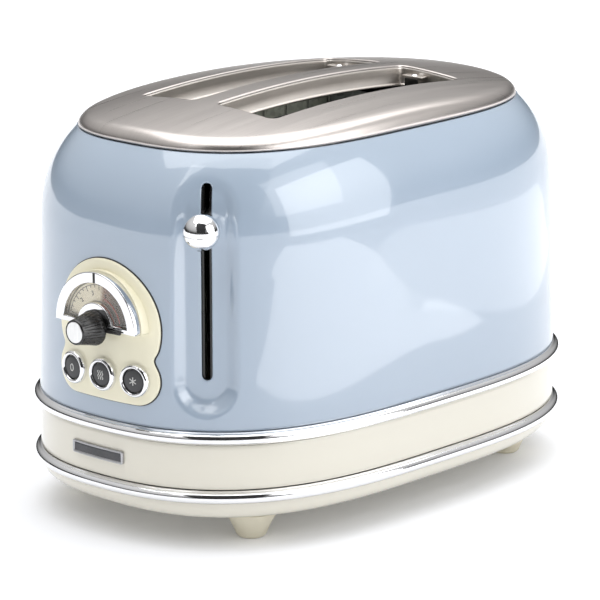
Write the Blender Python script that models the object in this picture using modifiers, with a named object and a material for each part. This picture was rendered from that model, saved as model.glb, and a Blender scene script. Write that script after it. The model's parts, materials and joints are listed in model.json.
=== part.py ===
"""A two-slice pop-up toaster, modelled as separate parts.

Metres, +Z up. The toaster stands on z = 0 with its long side along Y. The end with the dial,
the buttons and the lever faces -Y. Shapes are laid out about the middle of the casing, and
every part hangs on one empty, which moves that middle back so that the whole object,
with its dial knob, is centred on the origin, and down so that the feet stand on z = 0.
"""
import math

import bmesh
import bpy
from mathutils import Matrix, Vector

# ---------------------------------------------------------------- driving dimensions
GAP = 0.0003                    # between pieces that touch
FACETS = 48                     # sides of the casing's plan

# plan of the casing: |x / half width|^PLAN_X + |y / half length|^PLAN_Y = 1
CASING_HALF_LENGTH = 0.1492
CASING_HALF_WIDTH = 0.0970
PLAN_X = 2.40
PLAN_Y = 3.14

# heights, measured from a level TABLE_Z below the table
TABLE_Z = 0.0025
PAN_BOTTOM = 0.0165
PAN_TOP = 0.0256
LOWER_RING_Z = 0.0303
BAND_BOTTOM = 0.0340
BAND_TOP = 0.0566
UPPER_RING_Z = 0.0603
BODY_BOTTOM = 0.0640
SHOULDER_START = 0.1400
PLATE_EDGE_Z = 0.1984
PLATE_CROWN_Z = 0.2149

# casing shells
BODY_WALL = 0.0012
BODY_LEAN = 0.0233
SHOULDER_POWER = 3.2
PLATE_HALF_LENGTH = 0.1255
PLATE_HALF_WIDTH = 0.0790
PLATE_PLAN_X = 2.60
PLATE_WALL = 0.0010
CROWN_CURVE_X = 1.30            # fall of the crown per square metre, across
CROWN_CURVE_Y = 0.66            # and along
BAND_WALL = 0.0016
PAN_WALL = 0.0020
PAN_HALF_LENGTH = 0.1389
PAN_HALF_WIDTH = 0.0916
RING_REACH = 0.0036             # how far a trim ring stands proud of the casing
RING_RADIUS = 0.0033

CUT_FRONT, CUT_BACK = -0.17, -0.13     # y span of the forms that cut the front wall

# bread slots
SLOT_MIDDLE_X = 0.0267
SLOT_HALF_WIDTH = 0.0196
SLOT_HALF_LENGTH = 0.0713
SLOT_CORNER = 0.0040
SLOT_CUT_LOW, SLOT_CUT_HIGH = 0.180, 0.230

# lever recess and slot, on the front right corner
LEVER_ANGLE = math.radians(36.0)
LEVER_PLACE = Vector((0.0581, -0.1331, 0.0))     # on the casing's plan
RECESS_WIDTH = 0.0354
RECESS_FLOOR_WIDTH = 0.0200
RECESS_BOTTOM = 0.0699
RECESS_TOP = 0.1908
RECESS_DEPTH = 0.0060
RECESS_WALL = 0.0012
LEVER_SLOT_WIDTH = 0.0051
LEVER_SLOT_BOTTOM = 0.0879
LEVER_SLOT_TOP = 0.1854
LEVER_BALL_RADIUS = 0.00905
LEVER_BALL_OUT = 0.0083         # from the casing's plan to the ball's middle
LEVER_BALL_Z = 0.1657

# control panel
PANEL_X = 0.0049
PANEL_Z = 0.1117
PANEL_RADIUS = 0.0333
PANEL_PROUD = 0.0016
BUTTON_Z = 0.0869
BUTTON_PITCH = 0.0204
BUTTON_LOBE = 0.0128
BUTTON_RADIUS = 0.0058
BUTTON_STEM = 0.0125            # how far a button's stem reaches behind the panel
BEZEL_RADIUS = 0.0085
PANEL_HOLE = 0.0062             # in the panel, round a button
BODY_HOLE = 0.0042              # in the body's wall, round a stem or the knob's shaft
KNOB_HOLE = 0.0050
SHAFT_RADIUS = 0.0030
DIAL_OUTER = 0.0277
DIAL_WINDOW = 0.0222
DIAL_HUB = 0.0124
DIAL_BAR = 0.0026
DIAL_FRONT = -0.1559            # y of the half ring's flat face
DIAL_THICKNESS = 0.0045
KNOB_BASE = 0.0089
KNOB_TIP = 0.0063
KNOB_CAP = 0.0055
POINTER_REACH = 0.0192
KNOB_REACH = 0.1699             # front of the knob's cap, ahead of the casing's middle

# mechanism
CHAMBER_HALF_LENGTH = 0.0760
CHAMBER_TOP = 0.1925
REFLECTOR_X, ELEMENT_X = 0.0560, 0.0510
GUIDE_BOTTOM, GUIDE_TOP = 0.0620, 0.1900
GUIDE_HALF_LENGTH = 0.0700
GUIDE_REACH = 0.0168            # from a slot's middle to a bread guide
ROD_X, ROD_Y = 0.0100, -0.1020
ROD_RADIUS = 0.0025
LIFTER_TOP = 0.1300
SPRING_X, SPRING_Y = -0.0060, -0.1040
SPRING_BOTTOM, SPRING_TOP = 0.1300, 0.1932
TRAY_HALF_WIDTH = 0.0500
TRAY_BOTTOM, TRAY_TOP = 0.0370, 0.0500
CHASSIS_BOTTOM, CHASSIS_TOP = 0.0515, 0.0527
CARRIAGE_FRONT, CARRIAGE_BACK = -0.0960, -0.0945

FOOT_X, FOOT_Y = 0.0565, 0.0995
FOOT_RADIUS, FOOT_TIP_RADIUS = 0.0136, 0.0068
SCREW_X, SCREW_Y = 0.0300, 0.1150
INLET_X, INLET_Z = 0.0, 0.0760

MIDDLE_Y = (KNOB_REACH - CASING_HALF_LENGTH - RING_REACH) / 2

# ---------------------------------------------------------------- scene, collections, materials
for old in list(bpy.data.objects):
    bpy.data.objects.remove(old, do_unlink=True)

parts = bpy.data.collections.new("pop_up_toaster")
cutters = bpy.data.collections.new("cutters")
bpy.context.scene.collection.children.link(parts)
bpy.context.scene.collection.children.link(cutters)

middle = bpy.data.objects.new("casing_middle", None)
middle.location = (0, MIDDLE_Y, -TABLE_Z)
parts.objects.link(middle)

FINISHES = {
    "blue_paint": ((0.47, 0.58, 0.72), 0.18, 0.0),
    "cream_paint": ((0.83, 0.80, 0.68), 0.25, 0.0),
    "cream_plastic": ((0.80, 0.75, 0.58), 0.35, 0.0),
    "chrome": ((0.82, 0.82, 0.84), 0.06, 1.0),
    "brushed_steel": ((0.60, 0.57, 0.55), 0.30, 1.0),
    "galvanised": ((0.45, 0.46, 0.47), 0.45, 1.0),
    "black_plastic": ((0.02, 0.02, 0.02), 0.40, 0.0),
    "grey_plastic": ((0.10, 0.10, 0.10), 0.50, 0.0),
    "pewter": ((0.30, 0.30, 0.32), 0.40, 1.0),
    "silver_cap": ((0.75, 0.75, 0.75), 0.30, 1.0),
    "scale_print": ((0.55, 0.45, 0.30), 0.50, 0.0),
    "clear": ((0.90, 0.90, 0.88), 0.05, 0.0),
    "mica": ((0.42, 0.33, 0.20), 0.60, 0.0),
    "board": ((0.05, 0.18, 0.08), 0.55, 0.0),
    "copper": ((0.60, 0.28, 0.14), 0.35, 1.0),
}


def finish(obj, name):
    material = bpy.data.materials.get(name)
    if material is None:
        colour, roughness, metallic = FINISHES[name]
        material = bpy.data.materials.new(name)
        material.use_nodes = True
        shader = material.node_tree.nodes["Principled BSDF"]
        shader.inputs["Base Color"].default_value = (*colour, 1)
        shader.inputs["Roughness"].default_value = roughness
        shader.inputs["Metallic"].default_value = metallic
    obj.data.materials.append(material)


# ---------------------------------------------------------------- modelling helpers
def add_object(name, data, finish_name=None, location=(0, 0, 0), turn=0.0):
    """Links a mesh or curve as a part with a finish, or as a hidden cutter without one."""
    obj = bpy.data.objects.new(name, data)
    obj.parent = middle
    obj.location = location
    obj.rotation_euler = (0, 0, turn)
    if finish_name is None:
        obj.hide_render = True
        obj.display_type = "WIRE"
        cutters.objects.link(obj)
    else:
        finish(obj, finish_name)
        parts.objects.link(obj)
    return obj


def mesh_from(bm, name):
    bmesh.ops.recalc_face_normals(bm, faces=bm.faces)
    return mesh_as_wound(bm, name)


def mesh_as_wound(bm, name):
    """A mesh whose faces keep the direction they were wound in."""
    mesh = bpy.data.meshes.new(name)
    bm.to_mesh(mesh)
    bm.free()
    return mesh


def boolean(obj, operation, other):
    modifier = obj.modifiers.new(f"{operation.lower()}_{other.name}", "BOOLEAN")
    modifier.operation = operation
    modifier.object = other
    modifier.solver = "EXACT"


def bevel(obj, width, segments=2):
    modifier = obj.modifiers.new("rounded_edges", "BEVEL")
    modifier.width = width
    modifier.segments = segments
    modifier.limit_method = "ANGLE"


def solidify(obj, thickness):
    """Gives a surface a wall, which grows inwards."""
    modifier = obj.modifiers.new("wall", "SOLIDIFY")
    modifier.thickness = thickness
    modifier.offset = -1.0
    modifier.use_even_offset = True


def box(name, low, high, finish_name=None):
    """A box between two corners, with its origin at its middle."""
    size = [b - a for a, b in zip(low, high)]
    centre = [(a + b) / 2 for a, b in zip(low, high)]
    bm = bmesh.new()
    bmesh.ops.create_cube(bm, size=1.0)
    bmesh.ops.scale(bm, vec=size, verts=bm.verts)
    return add_object(name, mesh_from(bm, name), finish_name, centre)


def turned_box(name, middle_point, size, turn, finish_name=None):
    bm = bmesh.new()
    bmesh.ops.create_cube(bm, size=1.0)
    bmesh.ops.scale(bm, vec=size, verts=bm.verts)
    return add_object(name, mesh_from(bm, name), finish_name, middle_point, turn)


def cylinder(name, start, end, radius, finish_name=None, end_radius=None, sides=20):
    """A cylinder or cone from start to end, with its origin at start."""
    start, end = Vector(start), Vector(end)
    axis = end - start
    bm = bmesh.new()
    bmesh.ops.create_cone(bm, cap_ends=True, segments=sides, radius1=radius,
                          radius2=radius if end_radius is None else end_radius,
                          depth=axis.length)
    bmesh.ops.translate(bm, vec=(0, 0, axis.length / 2), verts=bm.verts)
    bmesh.ops.transform(bm, matrix=axis.to_track_quat("Z", "Y").to_matrix().to_4x4(),
                        verts=bm.verts)
    return add_object(name, mesh_from(bm, name), finish_name, start)


def turned(name, profile, location, axis, finish_name, steps=24):
    """A profile of (radius, height) points, from the outer side down, spun about axis."""
    bm = bmesh.new()
    points = [bm.verts.new((radius, 0, height)) for radius, height in profile]
    for first, second in zip(points, points[1:]):
        bm.edges.new((first, second))
    obj = add_object(name, mesh_as_wound(bm, name), finish_name, location)
    obj.rotation_mode = "QUATERNION"
    obj.rotation_quaternion = Vector(axis).to_track_quat("Z", "Y")
    screw = obj.modifiers.new("turned", "SCREW")
    screw.steps = steps
    screw.render_steps = steps
    screw.use_merge_vertices = True
    screw.merge_threshold = 0.00001
    return obj


def skin(bm, rings):
    """Joins rings of equal length with quads, and gives back their rows of vertices."""
    rows = [[bm.verts.new(point) for point in ring] for ring in rings]
    for lower, upper in zip(rows, rows[1:]):
        for i in range(len(lower)):
            j = (i + 1) % len(lower)
            bm.faces.new((lower[i], lower[j], upper[j], upper[i]))
    return rows


def loft(name, rings, finish_name=None, capped=True):
    """Skins rings of equal length; capped fills the two ends with flat faces."""
    bm = bmesh.new()
    rows = skin(bm, rings)
    if capped:
        bm.faces.new(rows[0])
        bm.faces.new(rows[-1])
    return add_object(name, mesh_from(bm, name), finish_name)


def prism(name, outline, start_y, end_y, finish_name=None):
    """An outline of (x, z) points run from one y to another."""
    return loft(name, [[(x, y, z) for x, z in outline] for y in (start_y, end_y)], finish_name)


def arc(centre, radius, start, end, count):
    """Points of an arc, angles in degrees, ends included."""
    points = []
    for i in range(count + 1):
        angle = math.radians(start + (end - start) * i / count)
        points.append((centre[0] + radius * math.cos(angle), centre[1] + radius * math.sin(angle)))
    return points


def rounded_rectangle(centre, half_width, half_height, corner, count=3):
    points = []
    for side_x, side_y, start in ((1, 1, 0), (-1, 1, 90), (-1, -1, 180), (1, -1, 270)):
        corner_centre = (centre[0] + side_x * (half_width - corner),
                         centre[1] + side_y * (half_height - corner))
        points += arc(corner_centre, corner, start, start + 90, count)
    return points


# ---------------------------------------------------------------- the casing's form
def plan(half_width, half_length, power_x=PLAN_X, power_y=PLAN_Y, count=FACETS):
    """Points of the casing's plan, evenly spaced along each quarter."""
    fine = []
    for i in range(801):
        angle = math.pi / 2 * i / 800
        fine.append((half_width * max(math.cos(angle), 0.0) ** (2 / power_x),
                     half_length * math.sin(angle) ** (2 / power_y)))
    along = [0.0]
    for first, second in zip(fine, fine[1:]):
        along.append(along[-1] + math.dist(first, second))
    quarter = []
    step = 0
    for i in range(count // 4 + 1):
        target = along[-1] * i / (count // 4)
        while step < 799 and along[step + 1] < target:
            step += 1
        share = (target - along[step]) / (along[step + 1] - along[step])
        quarter.append([a + (b - a) * share for a, b in zip(fine[step], fine[step + 1])])
    quarter[0] = [half_width, 0.0]
    quarter[-1] = [0.0, half_length]
    left = [(-x, y) for x, y in reversed(quarter[:-1])]
    upper = [tuple(point) for point in quarter] + left
    lower = [(-x, -y) for x, y in upper[1:-1]]
    return upper + lower


def section(half_width, half_length, z, **powers):
    return [(x, y, z) for x, y in plan(half_width, half_length, **powers)]


def body_inset(z):
    """How far the body's wall stands inside its foot at height z, across and along."""
    lean = BODY_LEAN * (z - BODY_BOTTOM)
    rise = max(0.0, (z - SHOULDER_START) / (PLATE_EDGE_Z - SHOULDER_START)) ** SHOULDER_POWER
    full_lean = BODY_LEAN * (PLATE_EDGE_Z - BODY_BOTTOM)
    across = CASING_HALF_WIDTH - full_lean - PLATE_HALF_WIDTH - GAP
    along = CASING_HALF_LENGTH - full_lean - PLATE_HALF_LENGTH - GAP
    return lean + across * rise, lean + along * rise


def body_section(z, out=0.0):
    across, along = body_inset(z)
    rise = max(0.0, (z - SHOULDER_START) / (PLATE_EDGE_Z - SHOULDER_START))
    return section(CASING_HALF_WIDTH - across + out, CASING_HALF_LENGTH - along + out, z,
                   power_x=PLAN_X + (PLATE_PLAN_X - PLAN_X) * rise)


def body_heights(top):
    lower = [BODY_BOTTOM, 0.105]
    count = 6
    return lower + [SHOULDER_START + (top - SHOULDER_START) * (i / count) ** 0.75
                    for i in range(count + 1)]


def front_y(x, out=0.0, z=PANEL_Z):
    """The y of the front wall's face at x."""
    inset = BODY_LEAN * (z - BODY_BOTTOM)
    width, length = CASING_HALF_WIDTH - inset + out, CASING_HALF_LENGTH - inset + out
    return -length * (1 - (abs(x) / width) ** PLAN_X) ** (1 / PLAN_Y)


def front_turn(x):
    """How far the front wall's face is turned about Z at x."""
    step = 0.0005
    return math.atan2(front_y(x + step) - front_y(x - step), 2 * step)


def body_solid(name, out):
    """The lower body's outline as one solid, out metres larger, to cut or trim with."""
    heights = [BODY_BOTTOM - 0.004, 0.105, SHOULDER_START, 0.160, 0.175, 0.188]
    return loft(name, [body_section(z, out) for z in heights])


def band_solid(name, out):
    rings = [section(CASING_HALF_WIDTH + out, CASING_HALF_LENGTH + out, z) for z in (0.030, 0.060)]
    return loft(name, rings)


# ---------------------------------------------------------------- lever recess
LEVER_OUT = Vector((math.sin(LEVER_ANGLE), -math.cos(LEVER_ANGLE), 0.0))
LEVER_SIDE = Vector((math.cos(LEVER_ANGLE), math.sin(LEVER_ANGLE), 0.0))


def recess_floor_out(z):
    """Where the recess floor lies, ahead of the casing's plan: it follows the body's wall
    at a depth that fades out towards the top."""
    across, along = body_inset(z)
    inset = across * LEVER_OUT.x ** 2 + along * LEVER_OUT.y ** 2
    rise = max(0.0, (z - SHOULDER_START) / (RECESS_TOP - SHOULDER_START))
    return -inset - RECESS_DEPTH * (1.0 - 0.85 * rise ** 1.5)


def stadium(width, bottom, top, out):
    """A ring of points round an upright round-ended slot, out metres ahead of the recess floor."""
    radius = width / 2
    low, high = bottom + radius, top - radius
    outline = arc((0, high), radius, 0, 180, 8)
    outline += [(-radius, high + (low - high) * i / 6) for i in range(1, 6)]
    outline += arc((0, low), radius, 180, 360, 8)
    outline += [(radius, low + (high - low) * i / 6) for i in range(1, 6)]
    ring = []
    for side, z in outline:
        point = LEVER_PLACE + LEVER_SIDE * side + LEVER_OUT * (out + recess_floor_out(z))
        ring.append((point.x, point.y, z))
    return ring


def stadium_loft(name, rings):
    """Lofts stadium rings and closes both ends with level strips, which can follow a curve."""
    bm = bmesh.new()
    rows = skin(bm, rings)
    count = len(rings[0])
    for row in (rows[0], rows[-1]):
        for i in range(4, 4 + count // 2):
            corners_of_strip = [row[i], row[(i + 1) % count], row[(7 - i) % count],
                                row[(8 - i) % count]]
            bm.faces.new(list(dict.fromkeys(corners_of_strip)))
    return add_object(name, mesh_from(bm, name))


def recess_form(name, grow):
    """The pressed recess as a tapered solid, grow metres larger all round."""
    taper = (RECESS_WIDTH - RECESS_FLOOR_WIDTH) / 2
    rings = []
    for share, out in ((1.0, -grow), (0.45, 0.0015 - grow / 2), (0.0, 0.0065), (-0.5, 0.0130)):
        inset = taper * share - grow
        rings.append(stadium(RECESS_WIDTH - 2 * inset, RECESS_BOTTOM + inset,
                             RECESS_TOP - inset, out))
    return stadium_loft(name, rings)


# ---------------------------------------------------------------- casing parts
def make_body():
    heights = body_heights(PLATE_EDGE_Z - 0.0006)
    rings = [body_section(z) for z in heights]
    last = heights[-1]
    across, along = body_inset(last)
    rings.append(section(CASING_HALF_WIDTH - across - 0.0040, CASING_HALF_LENGTH - along - 0.0040,
                         last + 0.0001, power_x=PLATE_PLAN_X))
    body = loft("body_shell", rings, "blue_paint", capped=False)
    solidify(body, BODY_WALL)
    recess_wall = recess_form("recess_wall", RECESS_WALL)
    boolean(recess_wall, "INTERSECT", body_solid("recess_limit", -BODY_WALL / 2))
    boolean(body, "UNION", recess_wall)
    boolean(body, "DIFFERENCE", recess_form("recess_void", 0.0))
    slot_rings = [stadium(LEVER_SLOT_WIDTH, LEVER_SLOT_BOTTOM, LEVER_SLOT_TOP, out)
                  for out in (-0.0060, 0.0200)]
    boolean(body, "DIFFERENCE", stadium_loft("lever_slot_cut", slot_rings))
    front = -CASING_HALF_LENGTH
    for i, x in enumerate(button_centres()):
        boolean(body, "DIFFERENCE", cylinder(f"button_hole_{i}", (x, front - 0.01, BUTTON_Z),
                                             (x, front + 0.02, BUTTON_Z), BODY_HOLE, sides=12))
    boolean(body, "DIFFERENCE", cylinder("knob_hole", (PANEL_X, front - 0.01, PANEL_Z),
                                         (PANEL_X, front + 0.02, PANEL_Z), BODY_HOLE, sides=12))
    boolean(body, "DIFFERENCE", cylinder("inlet_hole", (INLET_X, -front - 0.01, INLET_Z),
                                         (INLET_X, -front + 0.01, INLET_Z), 0.0050, sides=16))


def crown_z(x, y):
    return PLATE_CROWN_Z - CROWN_CURVE_X * x * x - CROWN_CURVE_Y * y * y


def crown_solid(name, inside, bottom, finish_name=None):
    """The plate's domed form as a solid, inside metres smaller, down to a level bottom."""
    edge = PLATE_EDGE_Z + GAP
    outline = plan(PLATE_HALF_WIDTH - inside, PLATE_HALF_LENGTH - inside, PLATE_PLAN_X)
    rings = [[(x, y, bottom) for x, y in outline]]
    for inset, drop in ((0.0, 0.93), (0.0006, 0.45), (0.0030, 0.08), (0.0080, 0.0),
                        (0.0300, 0.0), (0.0550, 0.0)):
        reach = inset + inside
        ring = plan(PLATE_HALF_WIDTH - reach, PLATE_HALF_LENGTH - reach, PLATE_PLAN_X)
        rings.append([(x, y, crown_z(x, y) + drop * (edge - crown_z(x, y)) - inside)
                      for x, y in ring])
    return loft(name, rings, finish_name)


def make_top_plate():
    """A domed steel plate with a rolled edge and two slots with turned-down lips."""
    edge = PLATE_EDGE_Z + GAP
    plate = crown_solid("top_plate", 0.0, edge, "brushed_steel")
    hollow = crown_solid("plate_hollow", PLATE_WALL, edge - 0.003)
    for side, tag in ((-1, "left"), (1, "right")):
        centre = (side * SLOT_MIDDLE_X, 0.0)
        outer = rounded_rectangle(centre, SLOT_HALF_WIDTH + PLATE_WALL,
                                  SLOT_HALF_LENGTH + PLATE_WALL, SLOT_CORNER + PLATE_WALL)
        boolean(hollow, "DIFFERENCE", loft(f"slot_lip_{tag}", [[(x, y, z) for x, y in outer]
                                                               for z in (SLOT_CUT_LOW, SLOT_CUT_HIGH)]))
    boolean(plate, "DIFFERENCE", hollow)
    for side, tag in ((-1, "left"), (1, "right")):
        centre = (side * SLOT_MIDDLE_X, 0.0)
        inner = rounded_rectangle(centre, SLOT_HALF_WIDTH, SLOT_HALF_LENGTH, SLOT_CORNER)
        boolean(plate, "DIFFERENCE", loft(f"slot_cut_{tag}", [[(x, y, z) for x, y in inner]
                                                             for z in (SLOT_CUT_LOW, SLOT_CUT_HIGH)]))


def make_trim_band():
    rings = [section(CASING_HALF_WIDTH, CASING_HALF_LENGTH, z) for z in (BAND_BOTTOM, BAND_TOP)]
    band = loft("trim_band", rings, "cream_paint", capped=False)
    solidify(band, BAND_WALL)
    mouth = box("tray_mouth", (-TRAY_HALF_WIDTH - GAP, 0.10, TRAY_BOTTOM - GAP),
                (TRAY_HALF_WIDTH + GAP, 0.20, TRAY_TOP + GAP))
    boolean(band, "DIFFERENCE", mouth)


def make_base_pan():
    """The shallow pan that the toaster stands on; its floor is inside its rolled foot."""
    rings = [section(CASING_HALF_WIDTH - 0.0003, CASING_HALF_LENGTH - 0.0003, PAN_TOP)]
    for share, z in ((0.35, 0.0222), (0.75, 0.0188), (1.0, PAN_BOTTOM)):
        width = CASING_HALF_WIDTH + (PAN_HALF_WIDTH - 0.003 - CASING_HALF_WIDTH) * share
        length = CASING_HALF_LENGTH + (PAN_HALF_LENGTH - 0.003 - CASING_HALF_LENGTH) * share
        rings.append(section(width, length, z, power_x=PLAN_X + 0.4 * share))
    bm = bmesh.new()
    rows = skin(bm, rings)
    bm.faces.new(rows[-1])
    pan = add_object("base_pan", mesh_from(bm, "base_pan"), "cream_paint")
    solidify(pan, PAN_WALL)
    for i, (x, y) in enumerate(corners(SCREW_X, SCREW_Y)):
        boolean(pan, "DIFFERENCE", cylinder(f"screw_hole_{i}", (x, y, 0.0), (x, y, 0.024),
                                            0.0023, sides=12))


def make_trim_ring(name, z):
    """A round chrome bead along the casing's plan."""
    reach = RING_REACH - RING_RADIUS
    curve = bpy.data.curves.new(name, "CURVE")
    curve.dimensions = "3D"
    curve.bevel_depth = RING_RADIUS
    curve.bevel_resolution = 2
    spline = curve.splines.new("POLY")
    points = plan(CASING_HALF_WIDTH + reach, CASING_HALF_LENGTH + reach)
    spline.points.add(len(points) - 1)
    for knot, (x, y) in zip(spline.points, points):
        knot.co = (x, y, 0, 1)
    spline.use_cyclic_u = True
    add_object(name, curve, "chrome", (0, 0, z))


def corners(x, y):
    return [(sx * x, sy * y) for sx in (-1, 1) for sy in (-1, 1)]


def make_feet():
    names = ("front_left", "rear_left", "front_right", "rear_right")
    for (x, y), tag in zip(corners(FOOT_X, FOOT_Y), names):
        foot = cylinder(f"foot_{tag}", (x, y, PAN_BOTTOM - GAP), (x, y, TABLE_Z), FOOT_RADIUS,
                        "cream_plastic", end_radius=FOOT_TIP_RADIUS, sides=20)
        bevel(foot, 0.0012, 1)


def make_base_screws():
    names = ("front_left", "rear_left", "front_right", "rear_right")
    for (x, y), tag in zip(corners(SCREW_X, SCREW_Y), names):
        screw = cylinder(f"base_screw_{tag}", (x, y, PAN_BOTTOM - GAP), (x, y, 0.0140), 0.0036,
                         "galvanised", end_radius=0.0028, sides=14)
        boolean(screw, "UNION", cylinder(f"screw_shank_{tag}", (x, y, 0.0150), (x, y, 0.0300),
                                         0.0018, sides=10))


# ---------------------------------------------------------------- control panel parts
def button_centres():
    return [PANEL_X - BUTTON_PITCH, PANEL_X, PANEL_X + BUTTON_PITCH]


def panel_outline():
    """A round head over the dial, a waist, and a foot with round ends over the buttons."""
    outline = arc((PANEL_X, PANEL_Z), PANEL_RADIUS, -17, 197, 20)
    left, right = button_centres()[0], button_centres()[-1]
    outline += [(PANEL_X - 0.0292, 0.0975)]
    outline += arc((left, BUTTON_Z), BUTTON_LOBE, 150, 270, 7)
    outline += arc((right, BUTTON_Z), BUTTON_LOBE, 270, 390, 7)
    outline += [(PANEL_X + 0.0292, 0.0975)]
    return outline


def half_disc(radius, bottom, count=18):
    """A half disc about the dial's centre, whose flat side is bottom metres above the centre."""
    rise = math.degrees(math.asin(bottom / radius))
    return arc((PANEL_X, PANEL_Z), radius, rise, 180 - rise, count)


def knob_bore(name, radius):
    return cylinder(name, (PANEL_X, CUT_FRONT, PANEL_Z), (PANEL_X, CUT_BACK, PANEL_Z), radius, sides=24)


def make_control_panel():
    """The cream panel follows the body's front, with a flat boss under the dial."""
    panel = prism("control_panel", panel_outline(), -0.162, -0.130, "cream_plastic")
    boolean(panel, "INTERSECT", body_solid("panel_face", PANEL_PROUD))
    boss_front = DIAL_FRONT + DIAL_THICKNESS + GAP
    boolean(panel, "UNION", prism("dial_boss", half_disc(DIAL_OUTER + 0.0002, 0.0), boss_front,
                                  -0.142))
    boolean(panel, "DIFFERENCE", body_solid("panel_back", GAP))
    for i, x in enumerate(button_centres()):
        boolean(panel, "DIFFERENCE", cylinder(f"panel_hole_{i}", (x, CUT_FRONT, BUTTON_Z),
                                              (x, CUT_BACK, BUTTON_Z), PANEL_HOLE, sides=16))
    boolean(panel, "DIFFERENCE", knob_bore("panel_knob_hole", KNOB_HOLE))


def make_dial():
    """The chrome half ring with its hub, the printed scale and the clear window over it."""
    back = DIAL_FRONT + DIAL_THICKNESS
    bezel = prism("dial_bezel", half_disc(DIAL_OUTER, 0.0), DIAL_FRONT, back, "chrome")
    opening = prism("dial_opening", half_disc(DIAL_WINDOW, DIAL_BAR), CUT_FRONT, CUT_BACK)
    boolean(opening, "DIFFERENCE", cylinder("dial_hub", (PANEL_X, -0.18, PANEL_Z),
                                            (PANEL_X, -0.12, PANEL_Z), DIAL_HUB, sides=32))
    boolean(bezel, "DIFFERENCE", opening)
    boolean(bezel, "DIFFERENCE", knob_bore("dial_bore", 0.0040))
    bevel(bezel, 0.0005, 1)
    for name, low, high, finish_name in (("dial_scale", 0.0005, 0.0015, "scale_print"),
                                         ("dial_window", 0.0020, 0.0027, "clear")):
        plate = prism(name, half_disc(DIAL_WINDOW - GAP, DIAL_BAR + GAP), back - high, back - low,
                      finish_name)
        boolean(plate, "DIFFERENCE", knob_bore(f"{name}_hub", DIAL_HUB + GAP))


def make_knob():
    """The black browning knob with its pointer and shaft, and the bright disc in its face."""
    front = -KNOB_REACH
    base_y = DIAL_FRONT - GAP
    length = base_y - front
    profile = [(0.0, length - 0.0010), (KNOB_CAP + GAP, length - 0.0010), (KNOB_CAP + GAP, length),
               (KNOB_TIP, length), (KNOB_TIP + 0.0003, length - 0.0010), (KNOB_BASE, 0.0010),
               (KNOB_BASE, 0.0), (0.0, 0.0)]
    knob = turned("browning_knob", profile, (PANEL_X, base_y, PANEL_Z), (0, -1, 0),
                  "black_plastic")
    boolean(knob, "UNION", cylinder("knob_shaft", (PANEL_X, base_y - 0.002, PANEL_Z),
                                    (PANEL_X, -0.1370, PANEL_Z), SHAFT_RADIUS, sides=12))
    boolean(knob, "UNION", box("knob_pointer", (PANEL_X + 0.006, base_y - 0.0009, PANEL_Z - 0.0008),
                               (PANEL_X + POINTER_REACH, base_y - 0.0001, PANEL_Z + 0.0008)))
    cylinder("knob_cap", (PANEL_X, front + 0.0007, PANEL_Z), (PANEL_X, front, PANEL_Z), KNOB_CAP,
             "silver_cap", end_radius=KNOB_CAP - 0.0004, sides=24)


def make_buttons():
    """Three push buttons, each in a domed chrome bezel that follows the panel's curve."""
    names = ("stop", "reheat", "defrost")
    for x, tag in zip(button_centres(), names):
        turn = front_turn(x)
        out = Vector((math.sin(turn), -math.cos(turn), 0.0))
        seat = Vector((x, front_y(x, PANEL_PROUD, BUTTON_Z) - 0.0005, BUTTON_Z))
        ring = [(0.0061, 0.0), (0.0061, 0.0018), (0.0063, 0.0027), (0.0071, 0.0031),
                (0.0080, 0.0026), (BEZEL_RADIUS, 0.0012), (BEZEL_RADIUS, 0.0)]
        ring.append(ring[0])
        turned(f"bezel_{tag}", ring, seat, out, "chrome", steps=16)
        cap = cylinder(f"button_{tag}", seat + out * 0.0004, seat + out * 0.0024, BUTTON_RADIUS,
                       "grey_plastic", end_radius=0.0055, sides=20)
        boolean(cap, "UNION", cylinder(f"button_stem_{tag}", seat + out * 0.0010,
                                       seat - out * BUTTON_STEM, SHAFT_RADIUS, sides=12))


def make_badge():
    """A plain framed plate on the front of the band."""
    badge = prism("badge_plate", rounded_rectangle((-0.0012, 0.0455), 0.0177, 0.0033, 0.0008, 2),
                  -0.160, -0.130, "pewter")
    boolean(badge, "INTERSECT", band_solid("badge_face", 0.0015))
    boolean(badge, "DIFFERENCE", band_solid("badge_back", GAP))


# ---------------------------------------------------------------- lever and bread carriage
def make_lever_ball():
    centre = LEVER_PLACE + LEVER_OUT * LEVER_BALL_OUT + Vector((0, 0, LEVER_BALL_Z))
    bm = bmesh.new()
    bmesh.ops.create_uvsphere(bm, u_segments=20, v_segments=10, radius=LEVER_BALL_RADIUS)
    add_object("lever_knob", mesh_from(bm, "lever_knob"), "chrome", centre)


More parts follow.
